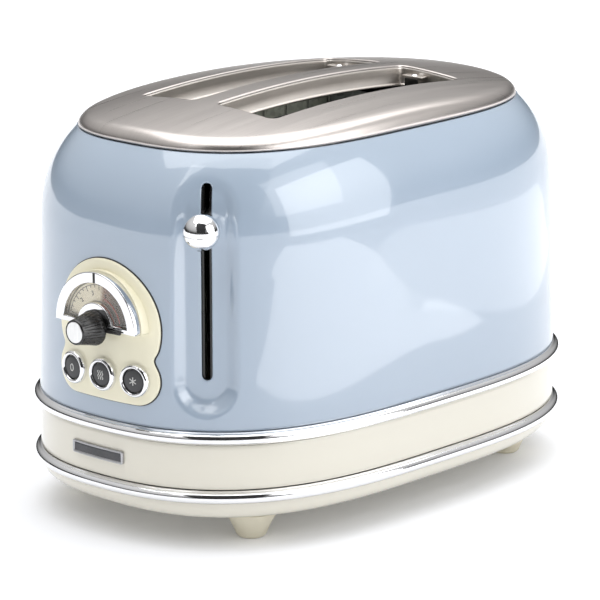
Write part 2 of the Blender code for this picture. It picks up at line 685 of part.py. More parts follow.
def make_carriage():
    """The pressed carriage: a plate, the arm out to the lever, and the bush on the guide rod."""
    front, back = CARRIAGE_FRONT, CARRIAGE_BACK
    plate = box("carriage", (-0.0370, front, 0.1250), (0.0420, back, 0.1500), "galvanised")
    boolean(plate, "UNION", box("carriage_tongue", (0.0240, front - 0.0005, 0.1400),
                                (0.0400, back, 0.1705)))
    reach = LEVER_BALL_OUT - LEVER_BALL_RADIUS - GAP
    inner = -0.0462
    arm_middle = LEVER_PLACE + LEVER_OUT * (reach + inner) / 2 + Vector((0, 0, LEVER_BALL_Z))
    boolean(plate, "UNION", turned_box("lever_arm", arm_middle, (0.0022, reach - inner, 0.0090),
                                       LEVER_ANGLE))
    boolean(plate, "UNION", box("rod_bush", (ROD_X - 0.0055, ROD_Y - 0.0050, 0.1300),
                                (ROD_X + 0.0055, back - 0.0003, 0.1480)))
    boolean(plate, "UNION", box("spring_tab", (SPRING_X - 0.0040, SPRING_Y - 0.0040, 0.1278),
                                (SPRING_X + 0.0040, back - 0.0004, 0.1292)))
    boolean(plate, "DIFFERENCE", cylinder("rod_bush_bore", (ROD_X, ROD_Y, 0.10),
                                          (ROD_X, ROD_Y, 0.20), ROD_RADIUS + 0.0004, sides=20))
    bevel(box("latch_keeper", (-0.0300, -0.1060, 0.1440), (-0.0140, front - GAP, 0.1462),
              "galvanised"), 0.0004)


def make_bread_lifters():
    """A bar under each slice, with cross fingers that hold the slice level."""
    for side, tag in ((-1, "left"), (1, "right")):
        x = side * SLOT_MIDDLE_X
        bar = box(f"bread_lifter_{tag}", (x - 0.0012, -0.0942, LIFTER_TOP - 0.0050),
                  (x + 0.0012, 0.0860, LIFTER_TOP - 0.0006), "galvanised")
        for i in range(6):
            y = -0.0600 + 0.0240 * i
            boolean(bar, "UNION", box(f"finger_{tag}_{i}", (x - 0.0080, y - 0.0012,
                                                            LIFTER_TOP - 0.0016),
                                      (x + 0.0080, y + 0.0012, LIFTER_TOP)))


def make_guide_rod():
    cylinder("guide_rod", (ROD_X, ROD_Y, 0.0530), (ROD_X, ROD_Y, 0.1937),
             ROD_RADIUS, "chrome", sides=16)


def make_return_spring():
    """The coil that lifts the carriage, hooked between the top bracket and the carriage."""
    curve = bpy.data.curves.new("return_spring", "CURVE")
    curve.dimensions = "3D"
    curve.bevel_depth = 0.0005
    curve.bevel_resolution = 0
    curve.use_fill_caps = True
    turns, steps, radius = 7, 6, 0.0034
    spline = curve.splines.new("POLY")
    spline.points.add(turns * steps)
    for i, knot in enumerate(spline.points):
        angle = 2 * math.pi * i / steps
        height = SPRING_BOTTOM + (SPRING_TOP - SPRING_BOTTOM) * i / (turns * steps)
        knot.co = (radius * math.cos(angle), radius * math.sin(angle), height, 1)
    add_object("return_spring", curve, "galvanised", (SPRING_X, SPRING_Y, 0))


def make_bread_guides():
    """Four wire cages, two to a slot, that close on the slice as the carriage goes down."""
    for side, tag in ((-1, "left"), (1, "right")):
        for reach, place in ((-1, "inner"), (1, "outer")):
            x = side * (SLOT_MIDDLE_X + reach * GUIDE_REACH)
            cage = box(f"bread_guide_{tag}_{place}", (x - 0.0006, -GUIDE_HALF_LENGTH, GUIDE_BOTTOM),
                       (x + 0.0006, GUIDE_HALF_LENGTH, GUIDE_TOP), "galvanised")
            for i in range(6):
                low = -GUIDE_HALF_LENGTH + 0.0020 + 0.0229 * i
                window = box(f"guide_window_{tag}_{place}_{i}", (x - 0.002, low, GUIDE_BOTTOM + 0.0040),
                             (x + 0.002, low + 0.0209, GUIDE_TOP - 0.0040))
                boolean(cage, "DIFFERENCE", window)


# ---------------------------------------------------------------- oven chamber and chassis
def make_chassis():
    """The floor plate with its crumb windows, the two end plates and the outer reflectors."""
    edge = BAND_WALL + GAP
    floor = loft("chassis_base", [section(CASING_HALF_WIDTH - edge, CASING_HALF_LENGTH - edge, z)
                                  for z in (CHASSIS_BOTTOM, CHASSIS_TOP)], "galvanised")
    for side, tag in ((-1, "left"), (1, "right")):
        x = side * SLOT_MIDDLE_X
        boolean(floor, "DIFFERENCE", box(f"crumb_window_{tag}", (x - 0.0180, -0.0680, 0.045),
                                         (x + 0.0180, 0.0680, 0.065)))
    bottom = CHASSIS_TOP + GAP
    for end, tag in ((-1, "front"), (1, "rear")):
        y = end * CHAMBER_HALF_LENGTH
        plate = box(f"chamber_{tag}_plate", (-0.0600, y - 0.0005, bottom),
                    (0.0600, y + 0.0005, CHAMBER_TOP), "galvanised")
        for side, slot_tag in ((-1, "left"), (1, "right")):
            x = side * SLOT_MIDDLE_X
            boolean(plate, "DIFFERENCE", box(f"lifter_slot_{tag}_{slot_tag}",
                                             (x - 0.0022, y - 0.002, 0.0530),
                                             (x + 0.0022, y + 0.002, 0.1480)))
    for side, tag in ((-1, "left"), (1, "right")):
        x = side * REFLECTOR_X
        box(f"reflector_{tag}", (x - 0.0004, -CHAMBER_HALF_LENGTH + 0.0008, bottom),
            (x + 0.0004, CHAMBER_HALF_LENGTH - 0.0008, CHAMBER_TOP - 0.001), "brushed_steel")
    for x, tag in ((-ELEMENT_X, "left"), (0.0, "centre"), (ELEMENT_X, "right")):
        box(f"heating_element_{tag}", (x - 0.0005, -CHAMBER_HALF_LENGTH + 0.0008, bottom + 0.006),
            (x + 0.0005, CHAMBER_HALF_LENGTH - 0.0008, CHAMBER_TOP - 0.003), "mica")
    box("rod_bracket", (-0.0120, -0.1100, 0.1940), (0.0180, -0.0745, 0.1955),
        "galvanised")


def make_crumb_tray():
    """A shallow tray that slides out at the rear, with a front that follows the band."""
    tray = box("crumb_tray", (-TRAY_HALF_WIDTH, 0.12, TRAY_BOTTOM),
               (TRAY_HALF_WIDTH, 0.17, TRAY_TOP), "cream_paint")
    boolean(tray, "INTERSECT", band_solid("tray_face", 0.0))
    boolean(tray, "DIFFERENCE", band_solid("tray_back", -BAND_WALL))
    pan_low = (-TRAY_HALF_WIDTH + 0.0010, -0.0900, TRAY_BOTTOM + 0.0004)
    pan_high = (TRAY_HALF_WIDTH - 0.0010, 0.1390, TRAY_BOTTOM + 0.0090)
    pan = box("tray_pan", pan_low, pan_high)
    well_low = (pan_low[0] + 0.0008, pan_low[1] + 0.0008, TRAY_BOTTOM + 0.0012)
    well_high = (pan_high[0] - 0.0008, 0.1300, 0.060)
    boolean(pan, "DIFFERENCE", box("tray_well", well_low, well_high))
    boolean(tray, "UNION", pan)


def make_electrics():
    """The latch magnet, the control board with its potentiometer, and the cord inlet."""
    box("latch_magnet", (-0.0290, -0.1080, 0.0530), (-0.0150, -0.0985, 0.0726), "copper")
    board_face = -0.1300
    box("control_board", (-0.0360, board_face, 0.0740), (0.0440, board_face + 0.0016, 0.1500),
        "board")
    cylinder("potentiometer", (PANEL_X, board_face - GAP, PANEL_Z), (PANEL_X, -0.1366, PANEL_Z),
             0.0080, "grey_plastic", sides=20)
    rear = CASING_HALF_LENGTH
    flange = [(0.0036, 0.0006), (0.0036, 0.0030), (0.0050, 0.0032), (0.0072, 0.0018),
              (0.0078, 0.0), (0.0047, 0.0), (0.0047, -0.0080), (0.0, -0.0080), (0.0, 0.0006)]
    turned("cord_inlet", [(0.0, 0.0006)] + flange[:-1], (INLET_X, rear, INLET_Z),
           (0, 1, 0), "black_plastic", steps=20)


def build():
    make_body()
    make_top_plate()
    make_trim_band()
    make_base_pan()
    make_trim_ring("lower_trim_ring", LOWER_RING_Z)
    make_trim_ring("upper_trim_ring", UPPER_RING_Z)
    make_feet()
    make_base_screws()
    make_control_panel()
    make_dial()
    make_knob()
    make_buttons()
    make_badge()
    make_lever_ball()
    make_carriage()
    make_bread_lifters()
    make_guide_rod()
    make_return_spring()
    make_bread_guides()
    make_chassis()
    make_crumb_tray()
    make_electrics()


build()
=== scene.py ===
"""Looks of a two-slice pop-up toaster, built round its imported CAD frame.

Metres, +Z up. Every piece is laid out in the casing's own frame, about its middle, and moved
to its place by CASING. `out` is a distance outwards from the casing's plan.
"""
import json
import math

import bmesh
import bpy
import numpy as np
from mathutils import Matrix, Vector
from mathutils.geometry import delaunay_2d_cdt


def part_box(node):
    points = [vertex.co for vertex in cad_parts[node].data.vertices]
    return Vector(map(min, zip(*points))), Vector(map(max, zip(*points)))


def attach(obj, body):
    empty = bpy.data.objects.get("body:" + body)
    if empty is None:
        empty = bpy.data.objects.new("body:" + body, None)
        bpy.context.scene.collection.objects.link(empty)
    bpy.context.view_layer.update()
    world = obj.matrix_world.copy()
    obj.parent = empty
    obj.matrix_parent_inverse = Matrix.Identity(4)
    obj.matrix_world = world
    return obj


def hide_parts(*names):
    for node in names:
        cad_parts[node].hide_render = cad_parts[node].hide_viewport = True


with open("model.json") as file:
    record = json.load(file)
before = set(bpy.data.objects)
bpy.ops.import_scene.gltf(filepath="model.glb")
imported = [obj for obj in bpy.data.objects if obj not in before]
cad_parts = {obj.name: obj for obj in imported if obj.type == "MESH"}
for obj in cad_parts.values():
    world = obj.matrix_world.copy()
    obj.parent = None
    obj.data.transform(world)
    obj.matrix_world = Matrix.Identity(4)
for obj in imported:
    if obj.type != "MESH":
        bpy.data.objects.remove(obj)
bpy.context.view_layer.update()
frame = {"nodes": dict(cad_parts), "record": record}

# ---------------------------------------------------------------- sizes read from the frame
BODY_BOTTOM = 0.0640            # in the casing's own frame
ring_low, ring_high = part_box("upper_trim_ring")
CASING = (ring_low + ring_high) / 2
CASING.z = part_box("body_shell")[0].z - BODY_BOTTOM


def local_box(node):
    """A node's box in the casing's own frame."""
    return [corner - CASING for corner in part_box(node)]


band_low, band_high = local_box("trim_band")
plate_low, plate_high = local_box("top_plate")
body_high = local_box("body_shell")[1]
CASING_WIDTH = (band_high.x - band_low.x) / 2
CASING_LENGTH = (band_high.y - band_low.y) / 2
PLATE_WIDTH = (plate_high.x - plate_low.x) / 2
PLATE_LENGTH = (plate_high.y - plate_low.y) / 2
PLATE_EDGE = plate_low.z
PLATE_CROWN = 0.2149
BODY_TOP = body_high.z

# ---------------------------------------------------------------- the casing's form
GAP = 0.0003
PLAN_X, PLAN_Y = 2.40, 3.14
PLATE_PLAN_X = 2.60
BODY_LEAN = 0.0233
SHOULDER_START = 0.1400
SHOULDER_POWER = 3.2
SHOULDER_END = 0.1984
CROWN_CURVE_X, CROWN_CURVE_Y = 1.30, 0.66

SLOT_MIDDLE_X = 0.0267
SLOT_HALF_WIDTH = 0.0196
SLOT_HALF_LENGTH = 0.0713
SLOT_CORNER = 0.0040

LEVER_ANGLE = math.radians(36.0)
LEVER_PLACE = Vector((0.0581, -0.1331, 0.0))
LEVER_OUT = Vector((math.sin(LEVER_ANGLE), -math.cos(LEVER_ANGLE), 0.0))
LEVER_SIDE = Vector((math.cos(LEVER_ANGLE), math.sin(LEVER_ANGLE), 0.0))
RECESS_HALF = 0.0177
RECESS_FLOOR_HALF = 0.0092
RECESS_BOTTOM, RECESS_TOP = 0.0699, 0.1908
RECESS_DEPTH = 0.0060
LEVER_SLOT_HALF = 0.00255
LEVER_SLOT_BOTTOM, LEVER_SLOT_TOP = 0.0879, 0.1854

PANEL_X, PANEL_Z = 0.0049, 0.1117
PANEL_RADIUS = 0.0333
PANEL_WAIST_HALF, PANEL_WAIST_Z = 0.0292, 0.0975
PANEL_PROUD = 0.0016
BUTTON_Z = 0.0869
BUTTON_PITCH = 0.0204
BUTTON_LOBE = 0.0128
DIAL_OUTER, DIAL_WINDOW, DIAL_HUB, DIAL_BAR = 0.0277, 0.0222, 0.0124, 0.0026
DIAL_FRONT, DIAL_THICKNESS = 0.1559, 0.0045
KNOB_BASE, KNOB_TIP, KNOB_CAP, KNOB_REACH = 0.0089, 0.0063, 0.0055, 0.1699
POINTER_REACH = 0.0192
SCALE_RADIUS, SCALE_SPAN = 0.0207, (12, 168)     # the printed arc, and its ends in degrees
NUMBER_RADIUS, NUMBER_SIZE = 0.0165, 0.0034
BADGE_X, BADGE_Z, BADGE_HALF_WIDTH, BADGE_HALF_HEIGHT = -0.0012, 0.0455, 0.0177, 0.0033


# ---------------------------------------------------------------- shader helpers
def set_ramp(node, stops):
    """Gives a colour ramp its (position, grey or colour) stops, in rising order."""
    elements = node.color_ramp.elements
    elements[0].position, elements[1].position = stops[0][0], stops[-1][0]
    for position, _ in stops[1:-1]:
        elements.new(position)
    for element, (_, colour) in zip(elements, stops):
        element.color = (*colour, 1.0) if isinstance(colour, tuple) else (colour,) * 3 + (1.0,)


class Shader:
    """A material's node tree, with short calls for the nodes that the finishes share."""

    def __init__(self, name, colour, roughness, metallic=0.0):
        self.material = bpy.data.materials.new(name)
        self.material.use_nodes = True
        self.tree = self.material.node_tree
        self.surface = self.tree.nodes["Principled BSDF"]
        self.put(**{"Base Color": (*colour, 1.0), "Roughness": roughness, "Metallic": metallic})
        self.place = self.tree.nodes.new("ShaderNodeTexCoord").outputs["Object"]
        self.last_bump = None

    def put(self, **values):
        for socket, value in values.items():
            self.surface.inputs[socket].default_value = value

    def stretched(self, scale):
        mapping = self.tree.nodes.new("ShaderNodeMapping")
        mapping.inputs["Scale"].default_value = scale
        self.tree.links.new(self.place, mapping.inputs["Vector"])
        return mapping.outputs["Vector"]

    def noise(self, scale, detail=3.0, stretch=None, rough=0.5):
        node = self.tree.nodes.new("ShaderNodeTexNoise")
        node.inputs["Scale"].default_value = scale
        node.inputs["Detail"].default_value = detail
        node.inputs["Roughness"].default_value = rough
        vector = self.stretched(stretch) if stretch else self.place
        self.tree.links.new(vector, node.inputs["Vector"])
        return node.outputs["Fac"]

    def cells(self, scale):
        node = self.tree.nodes.new("ShaderNodeTexVoronoi")
        node.inputs["Scale"].default_value = scale
        self.tree.links.new(self.place, node.inputs["Vector"])
        return node.outputs["Color"]

    def spread(self, value, low, high, start=0.3, end=0.7):
        node = self.tree.nodes.new("ShaderNodeMapRange")
        node.inputs["From Min"].default_value = start
        node.inputs["From Max"].default_value = end
        node.inputs["To Min"].default_value = low
        node.inputs["To Max"].default_value = high
        self.tree.links.new(value, node.inputs["Value"])
        return node.outputs["Result"]

    def link(self, socket, output):
        self.tree.links.new(output, self.surface.inputs[socket])

    def colour(self, value, *stops):
        """Stops are (position, colour)."""
        node = self.tree.nodes.new("ShaderNodeValToRGB")
        set_ramp(node, stops)
        self.tree.links.new(value, node.inputs["Fac"])
        self.link("Base Color", node.outputs["Color"])

    def roughness(self, value, low, high):
        self.link("Roughness", self.spread(value, low, high))

    def bump(self, height, distance, strength=1.0):
        node = self.tree.nodes.new("ShaderNodeBump")
        node.inputs["Distance"].default_value = distance
        node.inputs["Strength"].default_value = strength
        self.tree.links.new(height, node.inputs["Height"])
        if self.last_bump is not None:
            self.tree.links.new(self.last_bump, node.inputs["Normal"])
        self.last_bump = node.outputs["Normal"]
        self.link("Normal", self.last_bump)


def tint(colour, factor):
    return tuple(min(1.0, channel * factor) for channel in colour)


def gloss_paint(name, colour, coat, coat_ior):
    """Enamel under a clear gloss coat, with faint orange peel and specks of dust."""
    roughness = 0.30
    shader = Shader(name, colour, roughness)
    shader.put(**{"Coat Weight": coat, "Coat Roughness": 0.05, "Coat IOR": coat_ior})
    patches = shader.noise(14, 2.0)
    shader.colour(patches, (0.2, tint(colour, 0.985)), (0.8, tint(colour, 1.015)))
    shader.roughness(shader.noise(60, 3.0), roughness - 0.02, roughness + 0.02)
    shader.bump(shader.noise(260, 2.0), 0.000003, 0.5)
    shader.bump(shader.noise(2600, 1.0), 0.000001, 0.3)
    return shader.material


def chrome(name, colour=(0.86, 0.86, 0.87), roughness=0.06):
    """Bright plating with faint smudges and a soft ripple."""
    shader = Shader(name, colour, roughness, 1.0)
    smudge = shader.noise(55, 4.0)
    shader.roughness(smudge, roughness * 0.7, roughness + 0.05)
    shader.colour(shader.noise(20, 2.0), (0.35, tint(colour, 0.97)), (0.65, colour))
    shader.bump(shader.noise(420, 2.0), 0.000006, 0.5)
    return shader.material


def brushed(name, colour, roughness, stretch, grain=0.000012, spread=0.10, contrast=0.12):
    """Steel with a drawn grain along the direction that stretch keeps coarse."""
    shader = Shader(name, colour, roughness, 1.0)
    fine = shader.noise(1.0, 4.0, stretch, 0.65)
    broad = shader.noise(1.0, 3.0, tuple(axis * 0.16 for axis in stretch), 0.6)
    shader.colour(fine, (0.25, tint(colour, 1 - contrast)), (0.75, tint(colour, 1 + contrast)))
    shader.roughness(broad, roughness - spread / 2, roughness + spread / 2)
    shader.bump(fine, grain, 0.6)
    return shader.material


def sheet():
    """Galvanised sheet: large pale and dark crystals under a light scratch."""
    colour, roughness = (0.42, 0.43, 0.44), 0.42
    shader = Shader("galvanised_sheet", colour, roughness, 1.0)
    spangle = shader.cells(160)
    shader.colour(spangle, (0.1, tint(colour, 0.72)), (0.9, tint(colour, 1.22)))
    shader.roughness(shader.noise(90, 4.0), roughness - 0.08, roughness + 0.12)
    shader.bump(shader.noise(900, 3.0), 0.00001, 0.5)
    return shader.material


def plastic(name, colour, roughness, grain=0.00001, scale=1800, coat=0.0):
    """Moulded plastic with a fine spark-eroded grain."""
    shader = Shader(name, colour, roughness)
    shader.put(**{"Coat Weight": coat, "Coat Roughness": 0.08})
    shader.colour(shader.noise(30, 3.0), (0.3, tint(colour, 0.95)), (0.7, tint(colour, 1.04)))
    shader.roughness(shader.noise(130, 3.0), roughness - 0.05, roughness + 0.07)
    shader.bump(shader.noise(scale, 2.0), grain, 0.6)
    return shader.material


def mica_board():
    shader = Shader("mica_sheet", (0.34, 0.36, 0.31), 0.50)
    flakes = shader.cells(420)
    shader.colour(flakes, (0.1, (0.27, 0.285, 0.24)), (0.9, (0.41, 0.43, 0.37)))
    shader.bump(flakes, 0.00004, 0.5)
    return shader.material


def circuit_board():
    shader = Shader("green_board", (0.04, 0.16, 0.07), 0.45)
    weave = shader.cells(1400)
    shader.colour(weave, (0.2, (0.030, 0.130, 0.055)), (0.8, (0.050, 0.190, 0.085)))
    shader.bump(weave, 0.00001, 0.5)
    return shader.material


def winding():
    shader = Shader("copper_winding", (0.60, 0.28, 0.14), 0.35, 1.0)
    turns = shader.noise(1.0, 1.0, (60, 60, 2600))
    shader.colour(turns, (0.35, (0.32, 0.13, 0.06)), (0.65, (0.72, 0.36, 0.18)))
    shader.bump(turns, 0.0001, 0.8)
    return shader.material


def scale_face():
    """The printed dial: cream at the light settings, brown at the dark ones."""
    shader = Shader("dial_print", (0.7, 0.65, 0.5), 0.45)
    nodes, links = shader.tree.nodes, shader.tree.links
    parts = nodes.new("ShaderNodeSeparateXYZ")
    links.new(shader.place, parts.inputs["Vector"])
    offsets = []
    for axis, middle in (("X", PANEL_X), ("Y", PANEL_Z)):
        step = nodes.new("ShaderNodeMath")
        step.operation = "SUBTRACT"
        step.inputs[1].default_value = middle
        links.new(parts.outputs[axis], step.inputs[0])
        offsets.append(step.outputs["Value"])
    angle = nodes.new("ShaderNodeMath")
    angle.operation = "ARCTAN2"
    links.new(offsets[1], angle.inputs[0])
    links.new(offsets[0], angle.inputs[1])
    turn = shader.spread(angle.outputs["Value"], 0.0, 1.0, 0.0, math.pi)
    shader.colour(turn, (0.00, (0.070, 0.050, 0.035)), (0.30, (0.120, 0.085, 0.055)),
                  (0.44, (0.300, 0.170, 0.105)), (0.49, (0.850, 0.760, 0.560)),
                  (0.62, (0.960, 0.880, 0.680)), (0.88, (0.920, 0.840, 0.640)),
                  (0.94, (0.430, 0.380, 0.290)), (1.00, (0.230, 0.200, 0.150)))
    shader.bump(shader.noise(900, 2.0), 0.00001, 0.5)
    return shader.material


def clear_cover():
    shader = Shader("clear_cover", (0.90, 0.90, 0.88), 0.04)
    shader.put(**{"Alpha": 0.10, "IOR": 1.45})
    shader.roughness(shader.noise(80, 3.0), 0.02, 0.07)
    shader.bump(shader.noise(300, 2.0), 0.000004, 0.4)
    return shader.material


BLUE = gloss_paint("blue_enamel", (0.345, 0.423, 0.520), 1.0, 1.72)
CREAM = gloss_paint("cream_enamel", (0.780, 0.745, 0.640), 0.8, 1.5)
PANEL_CREAM = plastic("cream_moulding", (0.880, 0.835, 0.640), 0.36, 0.000003, 1600, 0.35)
FOOT_CREAM = plastic("cream_rubber", (0.780, 0.730, 0.580), 0.50, 0.00002, 1400)
CHROME = chrome("bright_chrome")
PLATE = brushed("brushed_plate", (0.55, 0.51, 0.485), 0.30, (2200, 26, 80), 0.000008, 0.07, 0.07)
LIP = brushed("brushed_lip", (0.62, 0.58, 0.54), 0.40, (700, 20, 60))
REFLECTOR = brushed("bright_reflector", (0.50, 0.50, 0.50), 0.30, (900, 900, 12))
SHEET = sheet()
WIRE = chrome("plated_wire", (0.62, 0.62, 0.60), 0.22)
BLACK = plastic("black_phenolic", (0.006, 0.0055, 0.005), 0.24, 0.000004, 1500, 0.3)
# Near-black finish on the inner walls of the body, band and pan: painted shade for the unlit inside of
# the casing, seen through the slots and the tray's mouth.
INNER_SHADE = plastic("painted_inner_shade", (0.006, 0.006, 0.007), 0.70)
GREY = plastic("grey_cap", (0.050, 0.050, 0.052), 0.42)
MARKS = plastic("pale_ink", (0.62, 0.62, 0.60), 0.50)
INK = plastic("black_ink", (0.018, 0.016, 0.015), 0.55)
RED_INK = plastic("red_ink", (0.42, 0.070, 0.045), 0.50)
PEWTER = brushed("pewter_casting", (0.48, 0.48, 0.49), 0.34, (500, 500, 500), 0.00002)
PEWTER_FACE = brushed("pewter_ground", (0.12, 0.12, 0.125), 0.50, (900, 900, 900), 0.00003)
SILVER = brushed("spun_cap", (0.78, 0.78, 0.77), 0.30, (700, 30, 700))
MICA = mica_board()
BOARD = circuit_board()
COPPER = winding()
SCALE = scale_face()
CLEAR = clear_cover()


# ---------------------------------------------------------------- piece helpers
def make_piece(name, data, material, body="casing", replaces=(), location=(0, 0, 0),
               rotation=None):
    """Puts a mesh or curve in its place on the casing, and says what it rides on."""
    obj = bpy.data.objects.new(name, data)
    bpy.context.scene.collection.objects.link(obj)
    obj.location = CASING + Vector(location)
    if rotation is not None:
        obj.rotation_mode = "QUATERNION"
        obj.rotation_quaternion = rotation
    for finish in material if isinstance(material, tuple) else (material,):
        data.materials.append(finish)
    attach(obj, body)
    if replaces:
        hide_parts(*replaces)
    return obj


def mesh_of(name, points, faces, smooth=True):
    mesh = bpy.data.meshes.new(name)
    mesh.from_pydata([tuple(point) for point in points], [], faces)
    mesh.validate()
    bm = bmesh.new()
    bm.from_mesh(mesh)
    bmesh.ops.recalc_face_normals(bm, faces=bm.faces)
    bm.to_mesh(mesh)
    bm.free()
    if smooth:
        mesh.shade_smooth()
    return mesh


def grid_faces(row_count, column_count, closed=True, ring=False):
    """Quads of a grid of points. closed joins the last column to the first; ring the rows."""
    faces = []
    for row in range(row_count if ring else row_count - 1):
        above = (row + 1) % row_count
        for column in range(column_count if closed else column_count - 1):
            beside = (column + 1) % column_count
            faces.append((row * column_count + column, row * column_count + beside,
                          above * column_count + beside, above * column_count + column))
    return faces


def grid_mesh(name, rows, closed=True, ring=False, capped=False, sharp=40):
    """A skin over rows of points, each row as long as the next."""
    points = [point for row in rows for point in row]
    count = len(rows[0])
    faces = grid_faces(len(rows), count, closed, ring)
    if capped:
        faces.append(tuple(range(count)))
        faces.append(tuple(range(len(points) - count, len(points))))
    mesh = mesh_of(name, points, faces)
    mesh.set_sharp_from_angle(angle=math.radians(sharp))
    return mesh


def wall(obj, thickness, material_offset=0):
    """Gives a surface a wall, which grows inwards."""
    modifier = obj.modifiers.new("wall", "SOLIDIFY")
    modifier.thickness = thickness
    modifier.offset = -1.0
    modifier.use_even_offset = False
    modifier.material_offset = material_offset
    modifier.material_offset_rim = 0


def turned_mesh(name, profile, steps=96, wobble=None, sharp=35):
    """A profile of (radius, height) spun about Z. wobble(angle, share) scales the radius."""
    rows = []
    for index, (radius, height) in enumerate(profile):
        row = []
        for step in range(steps):
            angle = 2 * math.pi * step / steps
            reach = radius
            if wobble is not None:
                reach *= wobble(angle, index / (len(profile) - 1))
            row.append((reach * math.cos(angle), reach * math.sin(angle), height))
        rows.append(row)
    return grid_mesh(name, rows, sharp=sharp)


def facing(direction):
    """The turn that takes +Z to a direction."""
    return Vector(direction).to_track_quat("Z", "Y")


def arc(centre, radius, start, end, count):
    angles = np.radians(np.linspace(start, end, count + 1))
    return [(centre[0] + radius * math.cos(a), centre[1] + radius * math.sin(a)) for a in angles]


def rounded_rectangle(centre, half_width, half_height, corner, count=6):
    points = []
    for side_x, side_y, start in ((1, 1, 0), (-1, 1, 90), (-1, -1, 180), (1, -1, 270)):
        middle = (centre[0] + side_x * (half_width - corner),
                  centre[1] + side_y * (half_height - corner))
        points += arc(middle, corner, start, start + 90, count)
    return points


def tidy_outline(points, step):
    """The outline's corners with points added so that none are further apart than step."""
    result = []
    for first, second in zip(points, points[1:] + points[:1]):
        length = math.dist(first, second)
        if length < 1e-6:
            continue
        for i in range(max(1, math.ceil(length / step))):
            share = i / max(1, math.ceil(length / step))
            result.append(tuple(a + (b - a) * share for a, b in zip(first, second)))
    return result


def grown(points, distance):
    """An outline wound counter-clockwise, moved outwards."""
    ring = np.array(points)
    ahead = np.roll(ring, -1, axis=0) - np.roll(ring, 1, axis=0)
    ahead /= np.linalg.norm(ahead, axis=1)[:, None]
    return [tuple(p) for p in ring + distance * np.stack([ahead[:, 1], -ahead[:, 0]], axis=1)]


def inside(points, outline):
    """Which points lie in an outline."""
    x, y = points[:, 0], points[:, 1]
    ring = np.array(outline)
    odd = np.zeros(len(points), bool)
    for (ax, ay), (bx, by) in zip(ring, np.roll(ring, -1, axis=0)):
        if ay == by:
            continue
        crosses = (ay > y) != (by > y)
        odd ^= crosses & (x < (bx - ax) * (y - ay) / (by - ay) + ax)
    return odd


def filled(rings, holes, spacing):
    """Triangles over a plane outline: rings are nested outlines, the first the outermost, and
    holes are lists of nested outlines, the first the hole's edge. Gives points and faces."""
    points, edges = [], []
    for ring in rings + [ring for hole in holes for ring in hole]:
        start = len(points)
        points += ring
        edges += [(start + i, start + (i + 1) % len(ring)) for i in range(len(ring))]
    low, high = np.min(rings[-1], axis=0), np.max(rings[-1], axis=0)
    grid_x, grid_y = np.meshgrid(np.arange(low[0], high[0], spacing),
                                 np.arange(low[1], high[1], spacing))
    grid_x[1::2] += spacing / 2
    spots = np.stack([grid_x.ravel(), grid_y.ravel()], axis=1)
    keep = inside(spots, grown(rings[-1], -spacing * 0.5))
    for hole in holes:
        keep &= ~inside(spots, grown(hole[-1], spacing * 0.5))
    points += [tuple(spot) for spot in spots[keep]]
    made = delaunay_2d_cdt([Vector(p) for p in points], edges, [], 0, 1e-7)
    flat = np.array([tuple(p) for p in made[0]])
    middles = np.array([flat[list(face)].mean(axis=0) for face in made[2]])
    keep = inside(middles, rings[0])
    for hole in holes:
        keep &= ~inside(middles, hole[0])
    return flat, [tuple(face) for face, kept in zip(made[2], keep) if kept]


def outline_distance(points, outline):
    """How far points are from an outline's edges."""
    ring = np.array(outline)
    best = np.full(len(points), np.inf)
    for first, second in zip(ring, np.roll(ring, -1, axis=0)):
        along = second - first
        share = np.clip((points - first) @ along / max(along @ along, 1e-18), 0, 1)
        best = np.minimum(best, np.linalg.norm(points - first - share[:, None] * along, axis=1))
    return best


def bars(name, lines, radius, resolution=2, closed=False):
    """Round bars through lines of points, as one curve."""
    curve = bpy.data.curves.new(name, "CURVE")
    curve.dimensions = "3D"
    curve.bevel_depth = radius
    curve.bevel_resolution = resolution
    curve.use_fill_caps = True
    for line in lines:
        add_line(curve, line, closed)
    return curve


def add_line(curve, points, closed):
    spline = curve.splines.new("POLY")
    spline.points.add(len(points) - 1)
    for knot, point in zip(spline.points, points):
        knot.co = (*point, 1)
    spline.use_cyclic_u = closed


def plate_curve(name, outlines, thickness, bevel):
    """A flat plate with rounded edges; outlines after the first are holes. It lies in XY with
    its front face up, at the given thickness."""
    curve = bpy.data.curves.new(name, "CURVE")
    curve.dimensions = "2D"
    curve.fill_mode = "BOTH"
    curve.extrude = thickness / 2 - bevel
    curve.bevel_depth = bevel
    curve.bevel_resolution = 3
    curve.offset = -bevel
    for outline in outlines:
        add_line(curve, [(x, y, 0) for x, y in outline], True)
    return curve


# turns the XY plane to face the front
FRONT = Matrix(((1, 0, 0), (0, 0, -1), (0, 1, 0))).to_quaternion()


# ---------------------------------------------------------------- casing form functions
def plan(half_width, half_length, power_x=PLAN_X, power_y=PLAN_Y, count=2400):
    """The casing's plan as a closed line that starts at the front end's middle and runs
    counter-clockwise, seen from above: right side, rear, left side."""
    angle = np.linspace(0, np.pi / 2, count // 4 + 1)
    x = half_width * np.maximum(np.sin(angle), 0) ** (2 / power_x)
    y = -half_length * np.maximum(np.cos(angle), 0) ** (2 / power_y)
    quarter = np.stack([x, y], axis=1)
    rear = quarter[::-1][1:] * (1, -1)
    right = np.concatenate([quarter, rear])
    left = right[::-1][1:] * (-1, 1)
    return np.concatenate([right, left])


def along(line):
    """The distance travelled along a line at each of its points."""
    steps = np.linalg.norm(np.diff(line, axis=0), axis=1)
    return np.concatenate([[0.0], np.cumsum(steps)])


def even_plan(half_width, half_length, count, power_x=PLAN_X, extra=()):
    """Points evenly spaced along the plan; extra are shares of its length to add."""
    line = plan(half_width, half_length, power_x)
    travelled = along(line) / along(line)[-1]
    shares = np.unique(np.concatenate([np.arange(count) / count, list(extra)]))
    return np.stack([np.interp(shares, travelled, line[:, i]) for i in (0, 1)], axis=1)


